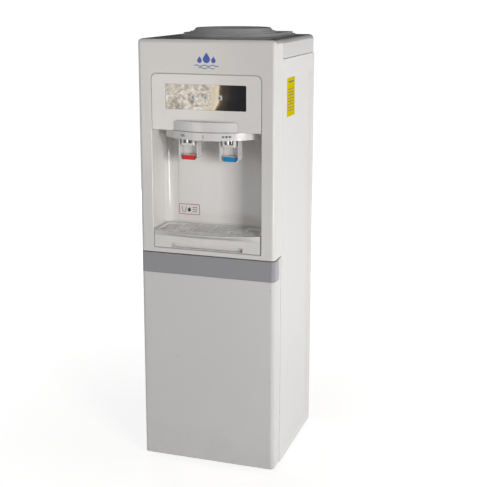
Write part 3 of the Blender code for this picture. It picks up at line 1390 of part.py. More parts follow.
def make_bottle_spike():
    """Hollow probe with a pointed tip and side windows, on a flange in the seat's neck."""
    low = SEAT_BOTTOM + SEAT_WALL + FIT
    flange = SEAT_NECK_RADIUS - FIT
    top = low + SPIKE_HEIGHT
    bore = SPIKE_RADIUS - SPIKE_WALL
    shoulder = low + SPIKE_FLANGE
    profile = [(0, top), (SPIKE_RADIUS * SPIKE_POINT_SHARE, top), (SPIKE_RADIUS, top - SPIKE_TIP),
               (SPIKE_RADIUS, shoulder + SPIKE_FLANGE), (SPIKE_RADIUS + SPIKE_FLANGE, shoulder),
               (flange, shoulder), (flange, low), (bore, low), (bore, top - SPIKE_TIP - SPIKE_WALL),
               (0, top - SPIKE_TIP)]
    spike = turned(profile, (0, SEAT_Y, 0), steps=BORE_STEPS)
    window_low = top - SPIKE_TIP - SPIKE_WALL - SPIKE_WINDOW_HEIGHT
    reach = SPIKE_RADIUS + OVERRUN
    half = SPIKE_WINDOW_WIDTH / 2
    window_top = window_low + SPIKE_WINDOW_HEIGHT
    across = box((-reach, SEAT_Y - half, window_low), (reach, SEAT_Y + half, window_top))
    ahead = box((-half, SEAT_Y - reach, window_low), (half, SEAT_Y + reach, window_top))
    part(cut(spike, across, ahead), "bottle_spike", "white_moulding")


# Cold side

def tank_profile(radius, low, high, mouth):
    """A thin tank with sloped shoulders and an open mouth on top."""
    bend = TANK_SHOULDER
    wall = TANK_WALL
    return [(mouth, high), (radius - bend, high), (radius, high - bend), (radius, low + bend),
            (radius - bend, low), (0, low), (0, low + wall), (radius - bend, low + wall),
            (radius - wall, low + wall + bend), (radius - wall, high - wall - bend),
            (radius - bend, high - wall), (mouth, high - wall)]


def make_cold_tank():
    """Stainless tank right under the bottle seat."""
    profile = tank_profile(COLD_TANK_RADIUS, COLD_TANK_BOTTOM, COLD_TANK_TOP, TANK_MOUTH)
    part(turned(profile, (0, SEAT_Y, 0), steps=TANK_STEPS, closed=True), "cold_tank", "stainless")


def fan_front():
    """The front plane of the fan, worked back from the rear panel."""
    return REAR_SKIN - FAN_REAR_GAP - FAN_DEPTH


def make_cooling_stack():
    """Cold block, thermoelectric module and finned heat sink between tank and fan."""
    fin_back = fan_front() - FIT
    fin_root = fin_back - SINK_FIN_DEPTH
    sink_front = fin_root - SINK_BASE
    half = FAN_SIZE / 2
    sink = box((-half, sink_front, FAN_Z - half), (half, fin_root + FIT, FAN_Z + half))
    pitch = FAN_SIZE / (SINK_FINS - 1 + SINK_FIN_SHARE)
    width = pitch * SINK_FIN_SHARE
    starts = [-half + i * pitch for i in range(SINK_FINS)]
    fins = [box((x, fin_root - FIT, FAN_Z - half), (x + width, fin_back, FAN_Z + half))
            for x in starts]
    part(fuse(sink, *fins), "heat_sink", "aluminium")
    module_back = sink_front - FIT
    module_front = module_back - MODULE_THICKNESS
    m = MODULE_SIZE / 2
    module = box((-m, module_front, FAN_Z - m), (m, module_back, FAN_Z + m))
    part(module, "cooling_module", "ceramic")
    b = BLOCK_SIZE / 2
    block = box((-b, SEAT_Y, FAN_Z - b), (b, module_front - FIT, FAN_Z + b))
    saddle = disc((0, SEAT_Y, 0), COLD_TANK_RADIUS + FIT * 2, COLD_TANK_BOTTOM, COLD_TANK_TOP,
                  steps=TANK_STEPS)
    part(cut(block, saddle), "cold_block", "aluminium")


def make_fan():
    """Square fan frame with a spider, and a rotor of twisted blades on its spindle."""
    front = fan_front()
    back = front + FAN_DEPTH
    half = FAN_SIZE / 2
    frame = prism(rectangle(-half, FAN_Z - half, half, FAN_Z + half, FAN_CORNER), front, back, "Y",
                  [ring_points((0, FAN_Z), FAN_BORE, ROUND_STEPS)])
    bar = FAN_SPIDER
    reach = FAN_BORE + FAN_SPIDER / 2
    arms = [box((-reach, back - bar, FAN_Z - bar / 2), (reach, back, FAN_Z + bar / 2)),
            box((-bar / 2, back - bar, FAN_Z - reach), (bar / 2, back, FAN_Z + reach))]
    spindle_front = back - bar - FAN_HUB_DEPTH * FAN_SPINDLE_SHARE
    spindle = disc((0, 0, FAN_Z), FAN_SPINDLE_RADIUS, -back + bar / 2, -spindle_front, "Y",
                   LAMP_STEPS)
    motor = disc((0, 0, FAN_Z), FAN_HUB_RADIUS * FAN_MOTOR_SHARE, -back, -back + bar, "Y",
                 BORE_STEPS)
    part(fuse(frame, *arms, motor, spindle), "fan_frame", "black")
    hub_back = back - bar - FAN_TIP_GAP / 2
    hub_front = hub_back - FAN_HUB_DEPTH
    hub = disc((0, 0, FAN_Z), FAN_HUB_RADIUS, -hub_back, -hub_front, "Y", HUB_STEPS)
    blades = [fan_blade(i, hub_front, hub_back) for i in range(FAN_BLADES)]
    bore = disc((0, 0, FAN_Z), FAN_SPINDLE_RADIUS + FIT, -hub_back - OVERRUN,
                -spindle_front + FIT, "Y", LAMP_STEPS)
    rotor = part(cut(fuse(hub, *blades), bore), "fan_rotor", "black")
    joint("fan_axis", (0, hub_back, FAN_Z), rotor)


def fan_blade(index, front, back):
    """One blade, lofted from the hub outwards with a twist that eases to the tip."""
    tip = FAN_BORE - FAN_TIP_GAP
    root = FAN_HUB_RADIUS * FAN_ROOT_SHARE
    middle_y = (front + back) / 2
    chord = (back - front) * FAN_CHORD_SHARE
    rings = []
    for station in range(FAN_STATIONS):
        share = station / (FAN_STATIONS - 1)
        radius = root + (tip - root) * share
        pitch = math.radians(FAN_BLADE_TWIST + FAN_EASE * share)
        half_t = FAN_BLADE_THICKNESS / 2
        length = chord / 2 / max(math.cos(pitch), FAN_REACH_LIMIT)
        section = [(-length, -half_t), (length, -half_t), (length, half_t), (-length, half_t)]
        ring = []
        for along_chord, off in section:
            y = along_chord * math.cos(pitch) - off * math.sin(pitch)
            side = along_chord * math.sin(pitch) + off * math.cos(pitch)
            ring.append((side, middle_y + y * FAN_DEPTH_SHARE, radius))
        rings.append(ring)
    spin = Matrix.Rotation(2 * math.pi * index / FAN_BLADES, 3, "Y")
    lifted = [[spin @ Vector((x, 0, r)) + Vector((0, y, FAN_Z)) for x, y, r in ring]
              for ring in rings]
    return loft(lifted)


# Hot side, hoses and drain

def hot_tank_bottom():
    """The underside of the hot tank, on its stand."""
    return SHELF_TOP + FIT * 2 + STAND_HEIGHT


def make_hot_tank():
    """Stainless boiler with its heater band, on a ring stand."""
    low = hot_tank_bottom()
    high = low + HOT_TANK_HEIGHT
    centre = (0, SEAT_Y, 0)
    profile = tank_profile(HOT_TANK_RADIUS, low, high, HOT_TANK_PORT)
    part(turned(profile, centre, steps=TANK_STEPS, closed=True), "hot_tank", "stainless")
    inner = HOT_TANK_RADIUS + FIT
    outer = inner + HEATER_BAND_WALL
    middle = low + HOT_TANK_HEIGHT * HEATER_RISE_SHARE
    half = HEATER_BAND_HEIGHT / 2
    band = [(inner, middle + half), (outer, middle + half), (outer, middle - half),
            (inner, middle - half)]
    part(turned(band, centre, steps=TANK_STEPS, closed=True), "heater_band", "zinc")
    stand_out = HOT_TANK_RADIUS - TANK_SHOULDER
    stand_in = stand_out - STAND_WALL
    foot = SHELF_TOP + FIT
    stand = [(stand_out, low - FIT), (stand_out, foot), (stand_in, foot), (stand_in, low - FIT)]
    ring = turned(stand, centre, steps=TANK_STEPS, closed=True)
    hose_way = box((-DRAIN_SIDE, SEAT_Y, foot - OVERRUN),
                   (DRAIN_SIDE, SEAT_Y + HOT_TANK_RADIUS, low - STAND_WALL))
    part(cut(ring, hose_way), "tank_stand", "white_moulding")


def make_hoses():
    """Silicone hoses: tank to tank, tanks to taps, and boiler to drain."""
    hot_top = hot_tank_bottom() + HOT_TANK_HEIGHT
    port_z = ALCOVE_TOP + LINER_WALL + FIT + VALVE_HEIGHT * TAP_PORT_SHARE
    tap_y = PIVOT_Y + VALVE_BACK + TAP_PORT_REACH + FIT
    lead = HOSE_LEAD
    low_y = SEAT_Y - COLD_TANK_RADIUS - HOSE_RADIUS * 2
    cold_low = COLD_TANK_BOTTOM - FIT
    x = TAP_XS["cold"]
    end = x * COLD_END_SHARE
    back = SEAT_Y - lead
    tube(smooth_route([(x, tap_y, port_z), (x, tap_y + lead, port_z),
                       (x, low_y - lead / 2, port_z - lead),
                       (x * COLD_BEND_SHARE, low_y + lead / 2, cold_low - lead * 2),
                       (end, back - lead / 2, cold_low - lead * COLD_DIP_SHARE),
                       (end, back, cold_low - lead / 2), (end, back, cold_low)]),
         HOSE_RADIUS, "cold_hose", "clear_hose")
    x = TAP_XS["hot"]
    end = x * HOT_END_SHARE
    tube(smooth_route([(x, tap_y, port_z), (x, tap_y + lead, port_z),
                       (x * HOT_BEND_SHARE, low_y, port_z - lead),
                       (x * HOT_SIDE_SHARE, back, (port_z + hot_top) / 2),
                       (x * HOT_TURN_SHARE, back, hot_top + lead * HOT_RISE_SHARE),
                       (end, back, hot_top + lead * HOT_FALL_SHARE), (end, back, hot_top + FIT)]),
         HOSE_RADIUS, "hot_hose", "clear_hose")
    feed_y = SEAT_Y + lead
    tube(smooth_route([(0, feed_y, cold_low), (0, feed_y, cold_low - lead),
                       (lead / 2, feed_y + lead / 2, (cold_low + hot_top) / 2),
                       (lead, feed_y, hot_top + lead), (lead, feed_y, hot_top + FIT)]),
         HOSE_RADIUS, "feed_hose", "clear_hose")


def make_drain():
    """Drain outlet through the rear panel, its cap, and the hose from the boiler."""
    x = -DRAIN_SIDE
    inside = REAR_SKIN - FIT - DRAIN_FLANGE_THICKNESS
    stub_front = inside - DRAIN_RADIUS
    end = REAR + DRAIN_REACH - CAP_WALL - FIT
    profile = [(DRAIN_RADIUS, -end), (DRAIN_RADIUS, -inside - DRAIN_FLANGE_THICKNESS),
               (DRAIN_FLANGE, -inside - DRAIN_FLANGE_THICKNESS), (DRAIN_FLANGE, -inside),
               (DRAIN_RADIUS, -inside), (DRAIN_RADIUS, -stub_front), (DRAIN_BORE, -stub_front),
               (DRAIN_BORE, -end)]
    part(turned(profile, (x, 0, DRAIN_Z), "Y", BORE_STEPS, closed=True), "drain_outlet",
         "white_moulding")
    tip = REAR + DRAIN_REACH
    skirt = REAR + FIT
    inner = DRAIN_RADIUS + FIT
    grip = []
    for step in range(CAP_RIBS * 4):
        turn = 2 * math.pi * step / (CAP_RIBS * 4)
        radius = CAP_RADIUS if step % 4 < 2 else CAP_RADIUS - CAP_FLUTE
        grip.append((x + radius * math.cos(turn), DRAIN_Z + radius * math.sin(turn)))
    cap = prism(grip, skirt, tip, "Y")
    bore = disc((x, 0, DRAIN_Z), inner, -tip + CAP_WALL, -skirt + OVERRUN, "Y", BORE_STEPS)
    cap = part(cut(cap, bore), "drain_cap", "white_moulding")
    joint("drain_cap_axis", (x, REAR, DRAIN_Z), cap)
    lead = HOSE_LEAD
    start = -HOT_TANK_RADIUS - FIT * 2
    tube(smooth_route([(x, stub_front - FIT, DRAIN_Z), (x, stub_front - lead, DRAIN_Z),
                       (start - lead * 2, SEAT_Y + lead * DRAIN_BEND_SHARE, DRAIN_Z),
                       (start - lead * DRAIN_SIDE_SHARE, SEAT_Y + lead / 2, DRAIN_Z),
                       (start - lead, SEAT_Y, DRAIN_Z), (start, SEAT_Y, DRAIN_Z)]),
         HOSE_RADIUS, "drain_hose", "clear_hose")


# Rear fittings

def switch_well(grow):
    """The switch body's cut-out in the rear panel."""
    half_x = SWITCH_SPACING / 2 + SWITCH_WIDTH / 2 + BEZEL_RIM / 2 + grow
    half_z = SWITCH_HEIGHT / 2 + BEZEL_RIM / 2 + grow
    return (SWITCH_SIDE - half_x, SWITCH_Z - half_z, SWITCH_SIDE + half_x, SWITCH_Z + half_z)


def make_switches():
    """Two rocker switches, hot and cold, in one bezel."""
    well = switch_well(0)
    rim = BEZEL_RIM
    face = REAR + FIT
    plate = prism(rectangle(well[0] - rim, well[1] - rim, well[2] + rim, well[3] + rim, SHEET_EDGE),
                  face, face + BEZEL_THICKNESS, "Y")
    body = box((well[0], REAR - SWITCH_BODY, well[1]), (well[2], face + BEZEL_THICKNESS / 2, well[3]))
    rooms = []
    pivot_y = REAR - SWITCH_BODY * ROCKER_PIVOT_SHARE
    for side, kind in ((-1, "hot"), (1, "cold")):
        x = SWITCH_SIDE + side * SWITCH_SPACING / 2
        half = SWITCH_WIDTH / 2 + SWITCH_GAP
        tall = SWITCH_HEIGHT / 2 + SWITCH_GAP
        rooms.append(box((x - half, REAR - SWITCH_BODY + SHEET_EDGE, SWITCH_Z - tall),
                         (x + half, face + OVERRUN, SWITCH_Z + tall)))
        make_rocker(kind, x, pivot_y)
    part(cut(fuse(plate, body), *rooms), "switch_bezel", "black")


def make_rocker(kind, x, pivot_y):
    """A rocker: two faces that meet in a shallow V, tilted to its off side."""
    tall = SWITCH_HEIGHT / 2
    face = REAR + FIT + BEZEL_THICKNESS - pivot_y
    slope = math.tan(math.radians(SWITCH_TILT))
    back = SWITCH_BODY * ROCKER_BACK_SHARE
    narrow = tall * ROCKER_NARROW_SHARE
    edge = tall * ROCKER_FACE_SHARE
    crest = face + slope * tall
    section = [(-back, -narrow), (-back, narrow), (face - SHEET, edge), (crest, edge),
               (face, 0), (crest, -edge), (face - SHEET, -edge)]
    tilt = Matrix.Rotation(math.radians(SWITCH_TILT), 2)
    turned_section = [tilt @ Vector(point) for point in section]
    outline = [(pivot_y + point.x, SWITCH_Z + point.y) for point in turned_section]
    rocker = prism(outline, x - SWITCH_WIDTH / 2, x + SWITCH_WIDTH / 2, "X")
    rocker = part(rocker, kind + "_switch", "red" if kind == "hot" else "blue")
    joint(kind + "_switch_axis", (x, pivot_y, SWITCH_Z), rocker)


def make_gland():
    """Bush in the rear panel where the mains lead would pass."""
    inside = REAR_SKIN - FIT - SHEET_EDGE
    outside = REAR + FIT + GLAND_REACH
    profile = [(GLAND_BORE, -outside), (GLAND_FLANGE - SHEET, -outside),
               (GLAND_FLANGE, -outside + SHEET), (GLAND_FLANGE, -REAR - FIT),
               (GLAND_RADIUS, -REAR - FIT), (GLAND_RADIUS, -inside), (GLAND_BORE, -inside)]
    centre = (-GLAND_SIDE, 0, SHELF_TOP + GLAND_RISE)
    part(turned(profile, centre, "Y", BORE_STEPS, closed=True), "cord_gland", "black")


def make_power_supply():
    """Closed supply box on the shelf."""
    wide, tall, deep = SUPPLY_SIZE
    low = SHELF_TOP + FIT
    rear = REAR_SKIN - SHEET_FLANGE
    supply = box((SUPPLY_SIDE - wide / 2, rear - deep, low),
                 (SUPPLY_SIDE + wide / 2, rear, low + tall))
    round_edges(supply, SHEET_EDGE, lambda m, r: abs(r.z) > ALONG_SHARE, SMALL_STEPS)
    part(supply, "power_supply", "zinc")


def main():
    clear_scene()
    make_base_pan()
    make_feet()
    make_side_panel("left_side_panel", -1)
    make_side_panel("right_side_panel", 1)
    make_rear_panel()
    make_top_cover()
    make_upper_front_panel()
    make_alcove_liner()
    make_display()
    make_tap_hood()
    make_tap_visor()
    for kind, x in TAP_XS.items():
        make_tap(kind, x)
        make_nozzle(kind, x)
        make_lever(kind, x)
    make_drip_tray()
    make_door()
    make_catch()
    make_hinges()
    make_shelf()
    make_cabinet_liner()
    make_bottle_seat()
    make_bottle_spike()
    make_cold_tank()
    make_cooling_stack()
    make_fan()
    make_hot_tank()
    make_hoses()
    make_drain()
    make_switches()
    make_gland()
    make_power_supply()


main()
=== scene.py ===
"""Looks of the free-standing water cooler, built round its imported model.

Metres, +Z up, front towards -Y. The floor is at z = 0.
"""
import math

import bmesh
import bpy
from mathutils import Matrix, Vector


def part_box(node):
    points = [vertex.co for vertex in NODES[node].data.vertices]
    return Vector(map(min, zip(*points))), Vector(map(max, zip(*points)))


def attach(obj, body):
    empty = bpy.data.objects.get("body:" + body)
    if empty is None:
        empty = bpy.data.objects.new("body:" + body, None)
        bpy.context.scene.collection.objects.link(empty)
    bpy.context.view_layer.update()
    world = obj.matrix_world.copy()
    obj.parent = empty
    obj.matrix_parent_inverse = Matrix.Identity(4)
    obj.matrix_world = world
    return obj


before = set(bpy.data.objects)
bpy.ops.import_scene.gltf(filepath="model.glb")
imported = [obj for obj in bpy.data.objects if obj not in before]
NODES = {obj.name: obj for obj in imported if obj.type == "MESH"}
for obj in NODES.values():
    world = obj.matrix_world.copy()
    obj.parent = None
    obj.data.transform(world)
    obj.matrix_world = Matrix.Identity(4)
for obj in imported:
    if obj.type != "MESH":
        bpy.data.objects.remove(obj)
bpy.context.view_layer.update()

# Depths that the model's boxes don't tell: the alcove behind the front, the field in a side panel
ALCOVE_DEPTH = 0.0849
SIDE_FIELD_DEPTH = 0.0016

# Places on the model, read from its nodes
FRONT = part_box("upper_front_panel")[0].y
ALCOVE_FACE = FRONT + ALCOVE_DEPTH
SIDE_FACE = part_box("right_side_panel")[1].x - SIDE_FIELD_DEPTH
REAR_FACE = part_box("rear_panel")[1].y
WINDOW_LOW, WINDOW_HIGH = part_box("display_window")
VISOR_LOW, VISOR_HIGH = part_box("tap_visor")
FAN_LOW, FAN_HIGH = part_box("fan_frame")
COLD_LOW, COLD_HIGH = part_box("cold_badge")
TAP_X = (COLD_LOW.x + COLD_HIGH.x) / 2

# Directions that printed marks face
TO_FRONT = (0, -1, 0)
TO_RIGHT = (1, 0, 0)

# Camera, fitted to the photograph
EYE = Vector((0.74249, -2.15546, 1.06325))
FORWARD = Vector((-0.31371, 0.92382, -0.21941))
UP = Vector((-0.06920, 0.20822, 0.97563))
LENS, SENSOR_WIDTH = 73.575, 36.0
SHIFT = (0.02874, -0.05556)
NEAR_CLIP, FAR_CLIP = 0.05, 200.0

WHITE = (1.0, 1.0, 1.0)

# World: its tint, its light from the sides and from overhead, and the upward shares between
# which one turns into the other
WORLD_TINT = (0.985, 0.99, 1.0)
WORLD_SIDE, WORLD_OVERHEAD = 0.36, 0.03
WORLD_FALL = (0.0, 0.8)

# Floor: half its width, its colour to look at, the grey that it sends back, and its own glow,
# which grows between two distances from the middle until the floor is plain white
FLOOR_REACH = 30.0
FLOOR_COLOUR = (0.400, 0.386, 0.382)
FLOOR_BOUNCE = (0.45, 0.45, 0.45)
FLOOR_FADE = (0.25, 1.5)
FLOOR_GLOW = (0.80, 1.0)

# Lamps: place, what it points at, width and height, watts, colour
WARM, NEARLY_WHITE = (1.0, 0.985, 0.97), (1.0, 0.99, 0.98)
LAMPS = {
    "key": ((2.38, -2.24, 1.05), (0, -0.1, 0.65), (1.0, 1.0), 62, WARM),
    "side": ((1.75, 0.15, 0.42), (0, 0, 0.45), (0.8, 0.9), 8.0, WARM),
    "fill": ((-1.9, -2.0, 0.75), (0, -0.15, 0.6), (1.4, 1.4), 11, NEARLY_WHITE),
    "rear": ((-1.7, 2.6, 0.8), (0, 0, 0.5), (1.4, 1.4), 34, NEARLY_WHITE),
}

# Cards that are only seen mirrored: left and right end, bottom and top, colour, strength.
# The curtain stands behind the cooler, where its level faces mirror it at a grazing angle. The
# bright card is a low window off to the right, seen as a thin line in round edges and metal. The
# dark room is in front, in the metal and the glossy faces.
CARDS = {
    "dark_curtain": ((-6.0, 3.2), (4.5, 3.2), 0.98, 4.0, (0.05, 0.05, 0.055), 1.0),
    "bright_card": ((1.66125, -1.508), (1.93875, -1.092), 0.0, 0.60, WHITE, 9.0),
    "dark_room": ((-1.20, -3.6), (2.6, -2.3), 0.0, 2.2, (0.10, 0.095, 0.09), 1.0),
}

# The card that the display strip mirrors: its ends, bottom and top, its strength, how its edges
# lean, bend and wave, and the places across it between which the fine ground comes in, the dark
# part comes in, and the dark part's colours run
STRIP_CARD = ((-2.2, -3.0), (0.1, -3.0), 0.15, 1.1)
STRIP_STRENGTH = 3.9
STRIP_LEAN, STRIP_BEND = -0.31, 0.10
STRIP_WAVES = dict(scale=11.0, detail=1.0, rough=0.5)
FINE_FROM = (-1.172, -1.152)
DARK_FROM = (-1.142, -1.122)
DARK_ACROSS = (-1.124, -0.974)

# Its coarse ground, its fine ground and its dark part: noise, and colours at shares of it
COARSE_NOISE = dict(scale=24.0, detail=9.0, rough=0.76, distortion=1.8)
FINE_NOISE = dict(scale=120.0, detail=3.0, rough=0.5)
COARSE_GROUND = ((0.36, (0.15, 0.125, 0.11)), (0.45, (0.45, 0.40, 0.355)),
                 (0.53, (0.72, 0.68, 0.62)), (0.62, (1.0, 0.985, 0.95)))
FINE_GROUND = ((0.38, (0.30, 0.27, 0.23)), (0.47, (0.66, 0.61, 0.53)),
               (0.60, (0.78, 0.74, 0.66)))
DARK_PART = ((0.00, (0.66, 0.58, 0.46)), (0.11, (0.78, 0.68, 0.52)),
             (0.150, (0.92, 0.80, 0.60)), (0.185, (0.20, 0.15, 0.10)),
             (0.30, (0.070, 0.058, 0.048)), (0.55, (0.032, 0.030, 0.030)),
             (1.00, (0.022, 0.022, 0.024)))


# Node trees

def opaque(colour):
    """A colour with full alpha."""
    return (*colour, 1.0)


class Net:
    """A node tree, written like a formula. A value is a number, a colour or a node's socket."""

    def __init__(self, tree, empty=True):
        self.tree = tree
        if empty:
            tree.nodes.clear()

    def fill(self, node, values):
        """Sets a node's inputs, or links them, by name or number."""
        for key, value in values.items():
            if isinstance(value, bpy.types.NodeSocket):
                self.tree.links.new(value, node.inputs[key])
            else:
                node.inputs[key].default_value = value

    def add(self, kind, values=None):
        """A new node with its inputs filled."""
        node = self.tree.nodes.new(kind)
        self.fill(node, values or {})
        return node

    def maths(self, operation, *values):
        """One Math node's result."""
        node = self.add("ShaderNodeMath", dict(enumerate(values)))
        node.operation = operation
        return node.outputs[0]

    def part(self, axis, vector):
        """A vector's X, Y or Z."""
        return self.add("ShaderNodeSeparateXYZ", {"Vector": vector}).outputs[axis]

    def ranged(self, value, source, target=(0.0, 1.0)):
        """A value moved from one range to another and kept inside it."""
        node = self.add("ShaderNodeMapRange", {
            "Value": value, "From Min": source[0], "From Max": source[1],
            "To Min": target[0], "To Max": target[1]})
        return node.outputs[0]

    def noise(self, where, scale, detail, rough=0.55, distortion=0.0):
        """Cloudy noise from 0 to 1."""
        node = self.add("ShaderNodeTexNoise", {
            "Vector": where, "Scale": scale, "Detail": detail, "Roughness": rough,
            "Distortion": distortion})
        return node.outputs[0]

    def ramp(self, value, stops):
        """A colour picked from a row of stops."""
        node = self.add("ShaderNodeValToRGB", {0: value})
        row = node.color_ramp.elements
        for element, (share, colour) in zip(row, (stops[0], stops[-1])):
            element.position, element.color = share, opaque(colour)
        for share, colour in stops[1:-1]:
            row.new(share).color = opaque(colour)
        return node.outputs[0]

    def mixed(self, factor, first, second):
        """The first colour where the factor is 0, and the second where it is 1."""
        node = self.add("ShaderNodeMix")
        node.data_type = "RGBA"
        self.fill(node, {"Factor": factor, "A": first, "B": second})
        return node.outputs["Result"]

    def glow(self, colour, strength):
        """A shader that shines by itself."""
        return self.add("ShaderNodeEmission", {"Color": colour, "Strength": strength}).outputs[0]

    def seen_or_lighting(self, seen, lighting):
        """One shader to look at, mirrored and through glass too, and one that lights things."""
        path = self.add("ShaderNodeLightPath")
        looked_at = path.outputs["Is Camera Ray"]
        for name in ("Is Glossy Ray", "Is Transmission Ray"):
            looked_at = self.maths("MAXIMUM", looked_at, path.outputs[name])
        return self.add("ShaderNodeMixShader", {0: looked_at, 1: lighting, 2: seen}).outputs[0]


# Camera, floor and light

def add_object(name, data):
    """A new object in the scene."""
    made = bpy.data.objects.new(name, data)
    bpy.context.scene.collection.objects.link(made)
    return made


def make_camera():
    """The photograph's view."""
    data = bpy.data.cameras.new("camera")
    data.sensor_fit = "HORIZONTAL"
    data.sensor_width = SENSOR_WIDTH
    data.lens = LENS
    data.shift_x, data.shift_y = SHIFT
    data.clip_start, data.clip_end = NEAR_CLIP, FAR_CLIP
    camera = add_object("camera", data)
    back = -FORWARD.normalized()
    up = (UP - UP.dot(back) * back).normalized()
    right = up.cross(back).normalized()
    camera.matrix_world = Matrix.LocRotScale(
        EYE, Matrix((right, up, back)).transposed().to_quaternion(), None)
    bpy.context.scene.camera = camera


def make_world():
    """White to look at and to be mirrored, and a softer grey for lighting, dimmer overhead."""
    world = bpy.data.worlds.new("studio")
    bpy.context.scene.world = world
    world.use_nodes = True
    net = Net(world.node_tree)
    upward = net.part("Z", net.add("ShaderNodeTexCoord").outputs["Generated"])
    strength = net.ranged(upward, WORLD_FALL, (WORLD_SIDE, WORLD_OVERHEAD))
    dim = net.add("ShaderNodeBackground", {"Color": opaque(WORLD_TINT), "Strength": strength})
    bright = net.add("ShaderNodeBackground", {"Color": opaque(WHITE), "Strength": 1.0})
    net.add("ShaderNodeOutputWorld", {
        "Surface": net.seen_or_lighting(bright.outputs[0], dim.outputs[0])})


def stage_face(name, corners, material_name):
    """One face that isn't part of the object, and its material's empty node tree."""
    mesh = bpy.data.meshes.new(name)
    mesh.from_pydata(corners, [], [(0, 1, 2, 3)])
    face = add_object(name, mesh)
    material = bpy.data.materials.new(material_name)
    material.use_nodes = True
    mesh.materials.append(material)
    return face, Net(material.node_tree)


def make_floor():
    """Pale floor: white to look at with a soft shadow, greyer in what it sends back."""
    span = FLOOR_REACH
    corners = [(-span, -span, 0), (span, -span, 0), (span, span, 0), (-span, span, 0)]
    net = stage_face("floor", corners, "floor_paper")[1]
    where = net.add("ShaderNodeTexCoord").outputs["Object"]
    away = net.add("ShaderNodeVectorMath", {0: where})
    away.operation = "LENGTH"
    strength = net.ranged(away.outputs["Value"], FLOOR_FADE, FLOOR_GLOW)
    lit = net.add("ShaderNodeBsdfDiffuse", {"Color": opaque(FLOOR_COLOUR)}).outputs[0]
    glowing = net.glow(opaque(WHITE), strength)
    seen = net.add("ShaderNodeAddShader", {0: lit, 1: glowing}).outputs[0]
    plain = net.add("ShaderNodeBsdfDiffuse", {"Color": opaque(FLOOR_BOUNCE)}).outputs[0]
    net.add("ShaderNodeOutputMaterial", {"Surface": net.seen_or_lighting(seen, plain)})


def make_lamp(name, place, aim, size, watts, colour):
    """One rectangular soft light that isn't seen itself."""
    data = bpy.data.lights.new(name, "AREA")
    data.shape = "RECTANGLE"
    data.size, data.size_y = size
    data.energy = watts
    data.color = colour
    lamp = add_object(name, data)
    away = Vector(aim) - Vector(place)
    lamp.matrix_world = Matrix.LocRotScale(Vector(place), away.to_track_quat("-Z", "Y"), None)
    lamp.visible_glossy = False
    lamp.visible_camera = False


def hidden_card(name, left, right, bottom, top):
    """An upright card that is only ever seen mirrored, and its material's empty node tree."""
    corners = [(*left, bottom), (*right, bottom), (*right, top), (*left, top)]
    card, net = stage_face(name, corners, name)
    card.visible_camera = False
    card.visible_diffuse = False
    card.visible_shadow = False
    card.visible_transmission = False
    return net


def make_even_card(name, left, right, bottom, top, colour, strength):
    """A hidden card of one colour."""
    net = hidden_card(name, left, right, bottom, top)
    net.add("ShaderNodeOutputMaterial", {"Surface": net.glow(opaque(colour), strength)})


def make_mirrored_card():
    """What the display strip mirrors: a mottled pale ground that ends in a dark room."""
    net = hidden_card("mirrored_card", *STRIP_CARD)
    where = net.add("ShaderNodeTexCoord").outputs["Object"]
    coarse = net.ramp(net.noise(where, **COARSE_NOISE), COARSE_GROUND)
    fine = net.ramp(net.noise(where, **FINE_NOISE), FINE_GROUND)
    leaning = net.maths("MULTIPLY_ADD", net.part("Z", where), STRIP_LEAN, net.part("X", where))
    waves = net.noise(where, **STRIP_WAVES)
    across = net.maths("MULTIPLY_ADD", waves, STRIP_BEND, leaning)
    ground = net.mixed(net.ranged(across, FINE_FROM), coarse, fine)
    dark = net.ramp(net.ranged(across, DARK_ACROSS), DARK_PART)
    picture = net.mixed(net.ranged(across, DARK_FROM), ground, dark)
    net.add("ShaderNodeOutputMaterial", {"Surface": net.glow(picture, STRIP_STRENGTH)})


# Materials

# Colours of dust and of specks, of the painted shade deep in hollows, and of the painted shade on
# level faces at the cooler's top
DUST = (0.42, 0.38, 0.33)
SPECK = (0.10, 0.09, 0.08)
HOLLOW_SHADE = (0.16, 0.155, 0.15)
TOP_SHADE = (0.13, 0.13, 0.135)

# Noise values from which a pattern begins and at which it is full
BLOTCH_NOISE = (0.32, 0.68)
DRIFT_NOISE = (0.30, 0.70)
DUST_NOISE = (0.50, 0.80)
FOOT_NOISE = (0.35, 0.75)

# How much finer than a finish's blotches its dust and its roughness drift are
DUST_FINER, DRIFT_FINER = 3.1, 2.3

# No finish is smoother than this, however its roughness drifts
LEAST_ROUGH = 0.02

# Specks: cells per metre, and the distances from a cell's point where the dot thins and ends
SPECK_CELLS = 26.0
SPECK_EDGE = (0.016, 0.030)

# Dirt near the floor: its patches per metre, and the heights where it thins and ends
FOOT_PATCHES = 16.0
FOOT_HEIGHT = (0.0, 0.11)

# Painted shade on the top: how far upward a face looks, and at what height, where the painted
# shade begins and is full
TOP_SHADE_UPWARD = (0.93, 0.99)
TOP_SHADE_HEIGHT = (0.955, 0.958)

# Painted shade in hollows: the open share of the surroundings where the painted darkening is full
# and where it begins
SHADE_OPEN = (0.35, 0.95)
SHADE_SAMPLES = 8

# Bump heights, in metres
WAVE_HEIGHT, GRAIN_HEIGHT = 0.004, 0.0002
